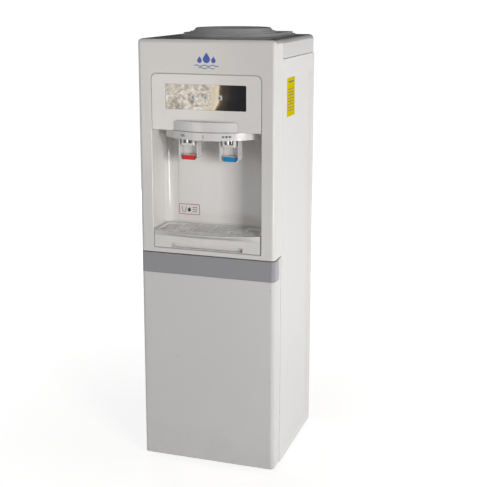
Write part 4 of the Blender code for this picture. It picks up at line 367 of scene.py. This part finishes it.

# Each finish's crease amount paints shade into its hollows, and its top colour paints shade on
# level faces at the cooler's top
FINISHES = {
    "front_white": dict(colour=(0.715, 0.703, 0.690), rough=0.24, rough_vary=0.03, vary=0.010,
                        blotch=4.0, grain=0.08, grain_scale=900, wave=0.006, coat=0.5,
                        coat_rough=0.10, top=TOP_SHADE, crease_shade=0.5),
    "cover_white": dict(colour=(0.61, 0.605, 0.605), rough=0.30, rough_vary=0.03, vary=0.010,
                        blotch=4.0, grain=0.10, grain_scale=700, wave=0.006, coat=0.3,
                        coat_rough=0.15, top=TOP_SHADE),
    "alcove_white": dict(colour=(0.80, 0.785, 0.77), rough=0.14, rough_vary=0.03, vary=0.012,
                         blotch=5.0, grain=0.05, wave=0.006, coat=0.5, coat_rough=0.06,
                         dust=0.02, crease_shade=0.4),
    "tap_white": dict(colour=(0.75, 0.74, 0.735), rough=0.24, rough_vary=0.04, vary=0.012,
                      blotch=12.0, grain=0.05, coat=0.4, coat_rough=0.10, dust=0.04,
                      crease_shade=0.5, shade_reach=0.004),
    "tray_white": dict(colour=(0.74, 0.73, 0.72), rough=0.34, rough_vary=0.06, vary=0.02,
                       blotch=14.0, grain=0.10, dust=0.10, dust_colour=(0.55, 0.52, 0.47),
                       crease_shade=0.3),
    "grille_white": dict(colour=(0.95, 0.94, 0.93), rough=0.30, rough_vary=0.06, vary=0.02,
                         blotch=14.0, grain=0.10, dust=0.10, dust_colour=(0.60, 0.57, 0.52),
                         crease_shade=0.9, shade_reach=0.010),
    "door_grey": dict(colour=(0.665, 0.665, 0.66), rough=0.20, rough_vary=0.03, vary=0.012,
                      blotch=3.0, grain=0.05, grain_scale=700, wave=0.02, wave_scale=7.0,
                      coat=0.5, coat_rough=0.10, dust=0.03, specks=0.8, foot=0.25),
    "band_grey": dict(colour=(0.288, 0.290, 0.312), rough=0.30, rough_vary=0.02, vary=0.012,
                      blotch=6.0, grain=0.05, grain_scale=2200, coat=0.3, coat_rough=0.15),
    "seat_grey": dict(colour=(0.340, 0.341, 0.343), rough=0.45, rough_vary=0.07, vary=0.05,
                      blotch=9.0, grain=0.25, grain_scale=1300, dust=0.16,
                      dust_colour=(0.36, 0.35, 0.34)),
    "steel_white": dict(colour=(0.73, 0.73, 0.725), rough=0.30, rough_vary=0.02, vary=0.008,
                        blotch=2.2, grain=0.14, grain_scale=420, wave=0.006, wave_scale=5.0,
                        coat=0.3, coat_rough=0.15, crease_shade=0.6),
    "liner_white": dict(colour=(0.74, 0.74, 0.73), rough=0.42, rough_vary=0.06, vary=0.02,
                        blotch=6.0, grain=0.12, dust=0.08),
    "smoked_mirror": dict(colour=(0.240, 0.234, 0.225), rough=0.020, rough_vary=0.001,
                          vary=0.02, blotch=20.0, metal=1.0),
    "chrome": dict(colour=(0.78, 0.78, 0.79), rough=0.07, rough_vary=0.03, vary=0.02,
                   blotch=60.0, metal=1.0, grain=0.02),
    "badge_red": dict(colour=(0.72, 0.030, 0.028), rough=0.34, rough_vary=0.05, vary=0.05,
                      blotch=60.0, grain=0.06, specular=0.30),
    "badge_blue": dict(colour=(0.012, 0.23, 0.50), rough=0.34, rough_vary=0.05, vary=0.05,
                       blotch=60.0, grain=0.06, specular=0.30),
    "stainless": dict(colour=(0.56, 0.56, 0.55), rough=0.26, rough_vary=0.07, vary=0.05,
                      blotch=18.0, metal=1.0, grain=0.18, grain_scale=300,
                      stretch=(1, 1, 12), anisotropic=0.4),
    "zinc": dict(colour=(0.50, 0.51, 0.52), rough=0.42, rough_vary=0.12, vary=0.14,
                 blotch=42.0, metal=1.0, grain=0.10, grain_scale=240, dust=0.12),
    "aluminium": dict(colour=(0.66, 0.67, 0.68), rough=0.33, rough_vary=0.08, vary=0.06,
                      blotch=30.0, metal=1.0, grain=0.20, grain_scale=900,
                      stretch=(1, 8, 1)),
    "black_moulding": dict(colour=(0.022, 0.022, 0.023), rough=0.46, rough_vary=0.08,
                           vary=0.20, blotch=20.0, grain=0.25, grain_scale=1400, dust=0.12,
                           dust_colour=(0.20, 0.19, 0.18)),
    "foot_rubber": dict(colour=(0.030, 0.030, 0.031), rough=0.75, rough_vary=0.08, vary=0.25,
                        blotch=60.0, grain=0.4, grain_scale=1900, dust=0.35,
                        dust_colour=(0.24, 0.22, 0.20)),
    "board_green": dict(colour=(0.020, 0.13, 0.055), rough=0.32, rough_vary=0.08, vary=0.22,
                        blotch=160.0, grain=0.12, grain_scale=900, coat=0.5, coat_rough=0.1),
    "hose_clear": dict(colour=(0.80, 0.84, 0.84), rough=0.16, rough_vary=0.05, vary=0.03,
                       blotch=40.0, grain=0.06, transmission=0.75, ior=1.41),
    "ceramic": dict(colour=(0.80, 0.79, 0.75), rough=0.55, rough_vary=0.08, vary=0.03,
                    blotch=60.0, grain=0.25),
    "sticker_yellow": dict(colour=(0.70, 0.57, 0.001), rough=0.62, rough_vary=0.06, vary=0.03,
                           blotch=40.0, grain=0.10, specular=0.0),
    "print_dark": dict(colour=(0.045, 0.047, 0.055), rough=0.42, rough_vary=0.08, vary=0.15,
                       blotch=300.0, grain=0.06),
    "print_blue": dict(colour=(0.035, 0.085, 0.42), rough=0.32, rough_vary=0.06, vary=0.08,
                       blotch=120.0, grain=0.05, coat=0.3),
    "print_teal": dict(colour=(0.02, 0.24, 0.17), rough=0.32, rough_vary=0.06, vary=0.08,
                       blotch=120.0, grain=0.05, coat=0.3),
    "print_pale": dict(colour=(0.62, 0.64, 0.64), rough=0.40, rough_vary=0.08, vary=0.04,
                       blotch=200.0, grain=0.06),
    "print_red": dict(colour=(0.55, 0.07, 0.05), rough=0.40, rough_vary=0.08, vary=0.08,
                      blotch=200.0, grain=0.06),
    "sticker_white": dict(colour=(0.80, 0.79, 0.775), rough=0.45, rough_vary=0.06, vary=0.02,
                          blotch=60.0, grain=0.12),
    "screw_steel": dict(colour=(0.52, 0.53, 0.54), rough=0.30, rough_vary=0.10, vary=0.10,
                        blotch=90.0, metal=1.0, grain=0.10, grain_scale=600),
}

# The finish of each of the record's material slots, and of the nodes that have their own
SLOT_FINISHES = {
    "white_moulding": "front_white", "white_steel": "steel_white", "grey_moulding": "seat_grey",
    "grey_band": "band_grey", "smoked": "smoked_mirror", "chrome": "chrome",
    "red": "badge_red", "blue": "badge_blue", "stainless": "stainless", "zinc": "zinc",
    "aluminium": "aluminium", "black": "black_moulding", "rubber": "foot_rubber",
    "green_board": "board_green", "clear_hose": "hose_clear", "liner": "liner_white",
    "ceramic": "ceramic",
}
NODE_FINISHES = {
    "door": "door_grey", "top_cover": "cover_white", "alcove_liner": "alcove_white",
    "tap_hood": "tap_white", "tap_visor": "tap_white", "hot_tap": "tap_white",
    "cold_tap": "tap_white", "hot_lever": "tap_white", "cold_lever": "tap_white",
    "drip_tray": "tray_white", "drip_grille": "grille_white",
}


def tone(colour, share):
    """The colour made lighter or darker by a share."""
    return opaque(c * (1 + share) for c in colour)


def surface(name, colour, rough, rough_vary, vary, blotch, metal=0.0, specular=0.5, ior=1.46,
            transmission=0.0, anisotropic=0.0, coat=0.0, coat_rough=0.12, stretch=(1, 1, 1),
            dust=0.0, dust_colour=DUST, specks=0.0, foot=0.0, top=None, crease_shade=0.0,
            shade_reach=0.006, wave=0.0, wave_scale=14.0, grain=0.0, grain_scale=1500.0):
    """A finish whose colour and roughness drift, with slow waves and fine grain.

    vary and rough_vary say how far they drift, and blotch how finely. Dust lies in patches,
    specks are scattered dots, and foot is dirt just above the floor. The top colour is painted
    shade on the level faces at the cooler's top, drawn darker as in their dim light, and the
    crease amount is painted shade that darkens hollows as far as its reach. wave and grain are
    the strengths of slow and fine bumps, and stretch draws all patterns out.
    """
    material = bpy.data.materials.new(name)
    material.use_nodes = True
    net = Net(material.node_tree, empty=False)
    where = net.add("ShaderNodeTexCoord").outputs
    place = net.add("ShaderNodeMapping", {"Vector": where["Object"], "Scale": stretch}).outputs[0]
    blotches = net.ranged(net.noise(place, blotch, detail=4.0), BLOTCH_NOISE)
    base = net.mixed(blotches, tone(colour, -vary), tone(colour, vary))
    if dust:
        patches = net.noise(place, blotch * DUST_FINER, detail=6.0, rough=0.65)
        amount = net.ranged(patches, DUST_NOISE, (0.0, dust))
        base = net.mixed(amount, base, opaque(dust_colour))
    if specks:
        cells = net.add("ShaderNodeTexVoronoi", {"Vector": place, "Scale": SPECK_CELLS})
        amount = net.ranged(cells.outputs["Distance"], SPECK_EDGE, (specks, 0.0))
        base = net.mixed(amount, base, opaque(SPECK))
    if foot:
        low = net.ranged(net.part("Z", where["Object"]), FOOT_HEIGHT, (1.0, 0.0))
        patches = net.ranged(net.noise(place, FOOT_PATCHES, detail=5.0), FOOT_NOISE, (0.0, foot))
        base = net.mixed(net.maths("MULTIPLY", low, patches), base, opaque(dust_colour))
    # Painted shade: level faces at the cooler's top drawn darker, standing in for their dim light
    # and the dark they mirror
    if top:
        level = net.ranged(net.part("Z", where["Normal"]), TOP_SHADE_UPWARD)
        high = net.ranged(net.part("Z", where["Object"]), TOP_SHADE_HEIGHT)
        base = net.mixed(net.maths("MULTIPLY", level, high), base, opaque(top))
    # Painted shade: hollows darkened by ambient occlusion
    if crease_shade:
        occlusion = net.add("ShaderNodeAmbientOcclusion", {"Distance": shade_reach})
        occlusion.samples = SHADE_SAMPLES
        amount = net.ranged(occlusion.outputs["AO"], SHADE_OPEN, (crease_shade, 0.0))
        base = net.mixed(amount, base, opaque(HOLLOW_SHADE))
    drift = net.ranged(net.noise(place, blotch * DRIFT_FINER, detail=4.0), DRIFT_NOISE,
                       (max(LEAST_ROUGH, rough - rough_vary), rough + rough_vary))
    normal = {}
    for strength, scale, height in ((wave, wave_scale, WAVE_HEIGHT),
                                    (grain, grain_scale, GRAIN_HEIGHT)):
        if strength:
            bump = net.add("ShaderNodeBump", {
                "Strength": strength, "Distance": height,
                "Height": net.noise(place, scale, detail=2.0), **normal})
            normal = {"Normal": bump.outputs[0]}
    coat_normal = {"Coat Normal": normal["Normal"]} if coat and normal else {}
    net.fill(net.tree.nodes["Principled BSDF"], {
        "Base Color": base, "Roughness": drift, "Metallic": metal, "IOR": ior,
        "Specular IOR Level": specular, "Transmission Weight": transmission,
        "Anisotropic": anisotropic, "Coat Weight": coat, "Coat Roughness": coat_rough,
        **normal, **coat_normal})
    return material


def paint_nodes(finish):
    """Gives every node of the model its finish."""
    for name, node in NODES.items():
        for holder in node.material_slots:
            slot = holder.material.name.split(".")[0]
            holder.material = finish[NODE_FINISHES.get(name, SLOT_FINISHES[slot])]


# Shading of the model's own nodes

# How close points are joined, from what angle an edge stays sharp, and how much large faces
# outweigh small ones in the shading, out of 100
MERGE_DISTANCE = 0.000005
SHARP_DEGREES = 34
FACE_WEIGHT = 100


def edge_group():
    """Geometry nodes that join split faces and keep only the real edges sharp."""
    group = bpy.data.node_groups.new("soft_edges", "GeometryNodeTree")
    for way in ("INPUT", "OUTPUT"):
        group.interface.new_socket("Geometry", in_out=way, socket_type="NodeSocketGeometry")
    net = Net(group)
    start = net.add("NodeGroupInput").outputs[0]
    merged = net.add("GeometryNodeMergeByDistance", {
        "Geometry": start, "Distance": MERGE_DISTANCE}).outputs[0]
    faces = net.add("GeometryNodeSetShadeSmooth", {"Geometry": merged})
    faces.domain = "FACE"
    angle = net.add("GeometryNodeInputMeshEdgeAngle").outputs["Unsigned Angle"]
    sharp = net.add("FunctionNodeCompare")
    sharp.data_type = "FLOAT"
    sharp.operation = "GREATER_THAN"
    net.fill(sharp, {"A": angle, "B": math.radians(SHARP_DEGREES)})
    edges = net.add("GeometryNodeSetShadeSmooth", {
        "Geometry": faces.outputs[0], "Selection": sharp.outputs[0], "Shade Smooth": False})
    edges.domain = "EDGE"
    net.add("NodeGroupOutput", {0: edges.outputs[0]})
    return group


def soften_nodes():
    """Gives every node smooth rounds and flat flats."""
    group = edge_group()
    for node in NODES.values():
        node.modifiers.new("soft_edges", "NODES").node_group = group
        weighted = node.modifiers.new("flat_faces", "WEIGHTED_NORMAL")
        weighted.keep_sharp = True
        weighted.weight = FACE_WEIGHT


# Printed marks

# Thickness of print on a surface and of signs over it, and the share of it that is sunk in
PRINT, SIGN = 0.00012, 0.00008
SUNK_SHARE = 0.25

# Steps in a round corner and in a drop's round end, that end's radius as a share of the drop's
# height, and the angles from which and to which it runs
CORNER_STEPS, DROP_STEPS = 5, 22
DROP_ROUND_SHARE = 0.36
DROP_DEGREES = (142, 398)
STAR_ARMS = 3


def solid(name, points, faces, material):
    """A mesh piece that rides on the cooler's body."""
    mesh = bpy.data.meshes.new(name)
    mesh.from_pydata(points, [], faces)
    mesh.validate()
    built = bmesh.new()
    built.from_mesh(mesh)
    bmesh.ops.recalc_face_normals(built, faces=built.faces)
    built.to_mesh(mesh)
    built.free()
    mesh.materials.append(material)
    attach(add_object(name, mesh), "cooler_body")


def printed(name, outlines, centre, normal, material, thick=PRINT):
    """Flat shapes laid on a surface that faces along the normal, each a thin closed plate."""
    normal = Vector(normal).normalized()
    right = Vector((0, 0, 1)).cross(normal).normalized()
    up = normal.cross(right).normalized()
    points, faces = [], []
    for outline in outlines:
        count, first = len(outline), len(points)
        for lift in (-thick * SUNK_SHARE, thick):
            points += [Vector(centre) + right * u + up * v + normal * lift for u, v in outline]
        faces.append(tuple(first + i for i in reversed(range(count))))
        faces.append(tuple(first + count + i for i in range(count)))
        for i in range(count):
            j = (i + 1) % count
            faces.append((first + i, first + j, first + count + j, first + count + i))
    solid(name, points, faces, material)


def rounded(width, height, radius, centre=(0, 0)):
    """Outline of a rectangle with round corners."""
    points = []
    for k, (sx, sz) in enumerate(((1, 1), (-1, 1), (-1, -1), (1, -1))):
        for step in range(CORNER_STEPS + 1):
            angle = math.pi / 2 * (k + step / CORNER_STEPS)
            points.append((centre[0] + sx * (width / 2 - radius) + radius * math.cos(angle),
                           centre[1] + sz * (height / 2 - radius) + radius * math.sin(angle)))
    return points


def drop(height, centre=(0, 0)):
    """Outline of a water drop standing on its round end."""
    radius = height * DROP_ROUND_SHARE
    low = centre[1] - height / 2 + radius
    first, last = DROP_DEGREES
    points = [(centre[0], centre[1] + height / 2)]
    for step in range(DROP_STEPS + 1):
        angle = math.radians(first + (last - first) * step / DROP_STEPS)
        points.append((centre[0] + radius * math.cos(angle), low + radius * math.sin(angle)))
    return points


def stroke(path, width):
    """Outline of a line of even width along a path."""
    left, right = [], []
    for i, (u, v) in enumerate(path):
        before, after = path[max(0, i - 1)], path[min(len(path) - 1, i + 1)]
        along = Vector((after[0] - before[0], after[1] - before[1])).normalized() * width / 2
        left.append((u - along.y, v + along.x))
        right.append((u + along.y, v - along.x))
    return left + right[::-1]


def ripple(length, height, waves, centre=(0, 0), steps=30):
    """A level wavy line's path."""
    return [(centre[0] + length * (s / steps - 0.5),
             centre[1] + height * math.sin(2 * math.pi * waves * s / steps))
            for s in range(steps + 1)]


def star(reach, width):
    """Crossed strokes that make a small frost star."""
    strokes = []
    for k in range(STAR_ARMS):
        angle = math.pi / 2 + k * math.pi / STAR_ARMS
        u, v = reach * math.cos(angle), reach * math.sin(angle)
        strokes.append(stroke([(-u, -v), (u, v)], width))
    return strokes


def make_emblem(finish):
    """A plain mark on the upper front: three drops over two ripples."""
    x, z = 0.003, 0.917
    tall, tall_rise = 0.022, 0.005
    small, small_rise, small_aside = 0.014, 0.001, 0.0155
    line, line_down, low_line_down = 0.0016, 0.0115, 0.0165
    drops = [drop(tall, (0, tall_rise))]
    drops += [drop(small, (side * small_aside, small_rise)) for side in (-1, 1)]
    long_ripple = ripple(length=0.054, height=0.0013, waves=3.0, centre=(0, -line_down))
    low_ripple = ripple(length=0.036, height=0.0012, waves=2.0, centre=(0, -low_line_down))
    centre = (x, FRONT, z)
    printed("emblem_drops", drops, centre, TO_FRONT, finish["print_blue"])
    printed("emblem_ripple", [stroke(long_ripple, line)], centre, TO_FRONT, finish["print_blue"])
    printed("emblem_low_ripple", [stroke(low_ripple, line)], centre, TO_FRONT,
            finish["print_teal"])


def make_window_marks(finish):
    """Three pale squares on the display strip, each with a small dark sign."""
    wide, corner = 0.0104, 0.0008
    bar, bar_pitch, bar_reach = 0.0007, 0.0016, 0.0024
    base_down, base_reach = 0.0028, 0.0026
    heat = [stroke([(u, -bar_reach), (u, bar_reach)], bar) for u in (-bar_pitch, 0, bar_pitch)]
    heat.append(stroke([(-base_reach, -base_down), (base_reach, -base_down)], bar))
    height = (WINDOW_LOW.z + WINDOW_HIGH.z) / 2
    face = WINDOW_LOW.y
    # Name, place across, height and sign of each square
    squares = (("left", -0.0285, 0.0125, heat),
               ("middle", 0.0, 0.0095, star(reach=0.0026, width=0.0006)),
               ("right", 0.032, 0.0095, [drop(height=0.0058)]))
    for name, x, tall, signs in squares:
        printed("lamp_square_" + name, [rounded(wide, tall, corner)], (x, face, height),
                TO_FRONT, finish["print_pale"])
        printed("lamp_sign_" + name, signs, (x, face - PRINT, height), TO_FRONT,
                finish["print_dark"], SIGN)


def make_visor_marks(finish):
    """Steam and frost signs and a middle tick on the visor's curved face."""
    radius, lift = 0.1287, 0.0006
    steam_pitch, steam_line = 0.0039, 0.0013
    tick_x, tick_reach, tick_line = 0.003, 0.0034, 0.0010
    hot_shift, cold_shift, star_pitch = 0.0005, 0.005, 0.0066
    height = (VISOR_LOW.z + VISOR_HIGH.z) / 2 + lift
    wisp = ripple(length=0.0054, height=0.0009, waves=1.0, steps=10)
    steam = [stroke([(u + swing, rise) for rise, swing in wisp], steam_line)
             for u in (-steam_pitch, 0.0, steam_pitch)]
    tick = [stroke([(0, -tick_reach), (0, tick_reach)], tick_line)]
    marks = [("hot", -TAP_X + hot_shift, steam), ("tick", tick_x, tick)]
    for number in (1, 2, 3):
        marks.append(("cold_%d" % number, TAP_X + cold_shift + star_pitch * (number - 2),
                      star(reach=0.0028, width=0.0011)))
    for name, x, signs in marks:
        turn = math.asin(x / radius)
        face = VISOR_LOW.y + radius * (1 - math.cos(turn))
        normal = (math.sin(turn), -math.cos(turn), 0)
        printed("visor_sign_" + name, signs, (x, face, height), normal, finish["print_dark"])


def make_side_sheet(finish):
    """Yellow sheet on the right side, with a heading bar and eight even bars."""
    y, z, thick = -0.0305, 0.8340, 0.00018
    sheet = dict(width=0.062, height=0.084, radius=0.0012)
    heading = dict(width=0.040, height=0.0030, radius=0.0004)
    bar = dict(width=0.046, height=0.0016, radius=0.0003)
    heading_rise, first_rise, pitch, count = 0.033, 0.017, 0.0066, 8
    bars = [rounded(**heading, centre=(0, heading_rise))]
    bars += [rounded(**bar, centre=(0, first_rise - pitch * k)) for k in range(count)]
    printed("side_sticker", [rounded(**sheet)], (SIDE_FACE, y, z), TO_RIGHT,
            finish["sticker_yellow"], thick)
    printed("side_sticker_bars", bars, (SIDE_FACE + thick, y, z), TO_RIGHT,
            finish["print_dark"], SIGN)


def make_alcove_sticker(finish):
    """Small framed sign on the alcove's back: a cup, a drop and three bars."""
    x, z = -0.0715, 0.5755
    width, height, corner = 0.050, 0.0245, 0.0025
    rim, field_corner = 0.0014, 0.0018
    rim_thick, field_thick, sign_thick = 0.00010, 0.00006, 0.00005
    cup_left, cup_right, cup_taper = -0.0180, -0.0080, 0.0018
    cup_reach, cup_line = 0.0060, 0.0011
    drop_x, drop_height = -0.0005, 0.0110
    bar_x, bar_pitch = 0.0130, 0.0048
    bar = dict(width=0.0110, height=0.0012, radius=0.0003)
    cup = [(cup_left, cup_reach), (cup_left + cup_taper, -cup_reach),
           (cup_right - cup_taper, -cup_reach), (cup_right, cup_reach)]
    signs = [stroke(cup, cup_line), drop(drop_height, (drop_x, 0))]
    signs += [rounded(**bar, centre=(bar_x, bar_pitch * k)) for k in (1, 0, -1)]
    face = ALCOVE_FACE
    printed("alcove_sticker", [rounded(width, height, corner)], (x, face, z), TO_FRONT,
            finish["print_red"], rim_thick)
    face -= rim_thick
    field = rounded(width - 2 * rim, height - 2 * rim, field_corner)
    printed("alcove_sticker_field", [field], (x, face, z), TO_FRONT, finish["sticker_white"],
            field_thick)
    face -= field_thick
    printed("alcove_sticker_signs", signs, (x, face, z), TO_FRONT, finish["print_dark"],
            sign_thick)


# Screw heads on the back

# The head, and its rings as shares of its radius and height, from the bottom up
SCREW_RADIUS, SCREW_HEIGHT, SCREW_STEPS = 0.0034, 0.0019, 24
HEAD_SHARES = ((1.0, 0.0), (1.0, 0.35), (0.94, 0.62), (0.80, 0.84), (0.62, 0.96), (0.58, 1.0))

# The cross recess: its arms and half its width as shares of the head's radius, its depth as a
# share of the head's height, and its floor as a share of its mouth
RECESS_ARM_SHARE, RECESS_BLADE_SHARE = 0.52, 0.14
RECESS_DEPTH_SHARE, RECESS_FLOOR_SHARE = 0.55, 0.7

# Each screw is turned this much further than the one before, in radians
SCREW_TURN = 0.7

# Places of the screws: along both sides of the rear panel, and at the fan's four corners
PANEL_SCREW_X = 0.1465
PANEL_SCREW_HEIGHTS = (0.030, 0.24, 0.46, 0.69, 0.895)
FAN_SCREW_REACH = 0.0415


def screw_mesh(material):
    """Pan head with a cross recess, standing on the origin along +Z."""
    built = bmesh.new()
    steps = SCREW_STEPS
    loops = []
    for radius_share, height_share in HEAD_SHARES:
        radius, z = SCREW_RADIUS * radius_share, SCREW_HEIGHT * height_share
        loops.append([built.verts.new((radius * math.cos(2 * math.pi * k / steps),
                                       radius * math.sin(2 * math.pi * k / steps), z))
                      for k in range(steps)])
    for low, high in zip(loops, loops[1:]):
        for k in range(steps):
            j = (k + 1) % steps
            built.faces.new((low[k], low[j], high[j], high[k]))
    arm, blade = SCREW_RADIUS * RECESS_ARM_SHARE, SCREW_RADIUS * RECESS_BLADE_SHARE
    bottom = SCREW_HEIGHT - SCREW_HEIGHT * RECESS_DEPTH_SHARE
    cross = [(blade, blade), (blade, arm), (-blade, arm), (-blade, blade), (-arm, blade),
             (-arm, -blade), (-blade, -blade), (-blade, -arm), (blade, -arm), (blade, -blade),
             (arm, -blade), (arm, blade)]
    rim = [built.verts.new((x, y, SCREW_HEIGHT)) for x, y in cross]
    pit = [built.verts.new((x * RECESS_FLOOR_SHARE, y * RECESS_FLOOR_SHARE, bottom))
           for x, y in cross]
    for k in range(len(cross)):
        j = (k + 1) % len(cross)
        built.faces.new((rim[j], rim[k], pit[k], pit[j]))
    built.faces.new(pit)
    edges = [built.edges.get((row[k], row[(k + 1) % len(row)])) for row in (loops[-1], rim)
             for k in range(len(row))]
    bmesh.ops.triangle_fill(built, edges=edges, use_beauty=True)
    built.faces.new(list(reversed(loops[0])))
    bmesh.ops.recalc_face_normals(built, faces=built.faces)
    mesh = bpy.data.meshes.new("screw")
    built.to_mesh(mesh)
    built.free()
    mesh.materials.append(material)
    return mesh


def make_screws(finish):
    """Screws that hold the rear panel and, through it, the fan."""
    mesh = screw_mesh(finish["screw_steel"])
    places = [(side * PANEL_SCREW_X, z) for side in (-1, 1) for z in PANEL_SCREW_HEIGHTS]
    middle_x, middle_z = (FAN_LOW.x + FAN_HIGH.x) / 2, (FAN_LOW.z + FAN_HIGH.z) / 2
    places += [(middle_x + sx * FAN_SCREW_REACH, middle_z + sz * FAN_SCREW_REACH)
               for sx in (-1, 1) for sz in (-1, 1)]
    lay = Matrix.Rotation(-math.pi / 2, 3, "X")
    for number, (x, z) in enumerate(places):
        piece = add_object("rear_screw_%02d" % (number + 1), mesh.copy())
        spin = Matrix.Rotation(SCREW_TURN * number, 3, "Y")
        piece.matrix_world = Matrix.LocRotScale(Vector((x, REAR_FACE, z)),
                                                (spin @ lay).to_quaternion(), None)
        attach(piece, "cooler_body")


make_camera()
make_world()
make_floor()
make_mirrored_card()
for card_name, card in CARDS.items():
    make_even_card(card_name, *card)
for lamp_name, lamp in LAMPS.items():
    make_lamp(lamp_name, *lamp)
finishes = {name: surface(name, **values) for name, values in FINISHES.items()}
paint_nodes(finishes)
soften_nodes()
make_emblem(finishes)
make_window_marks(finishes)
make_visor_marks(finishes)
make_side_sheet(finishes)
make_alcove_sticker(finishes)
make_screws(finishes)
bpy.context.scene.view_settings.view_transform = "Standard"
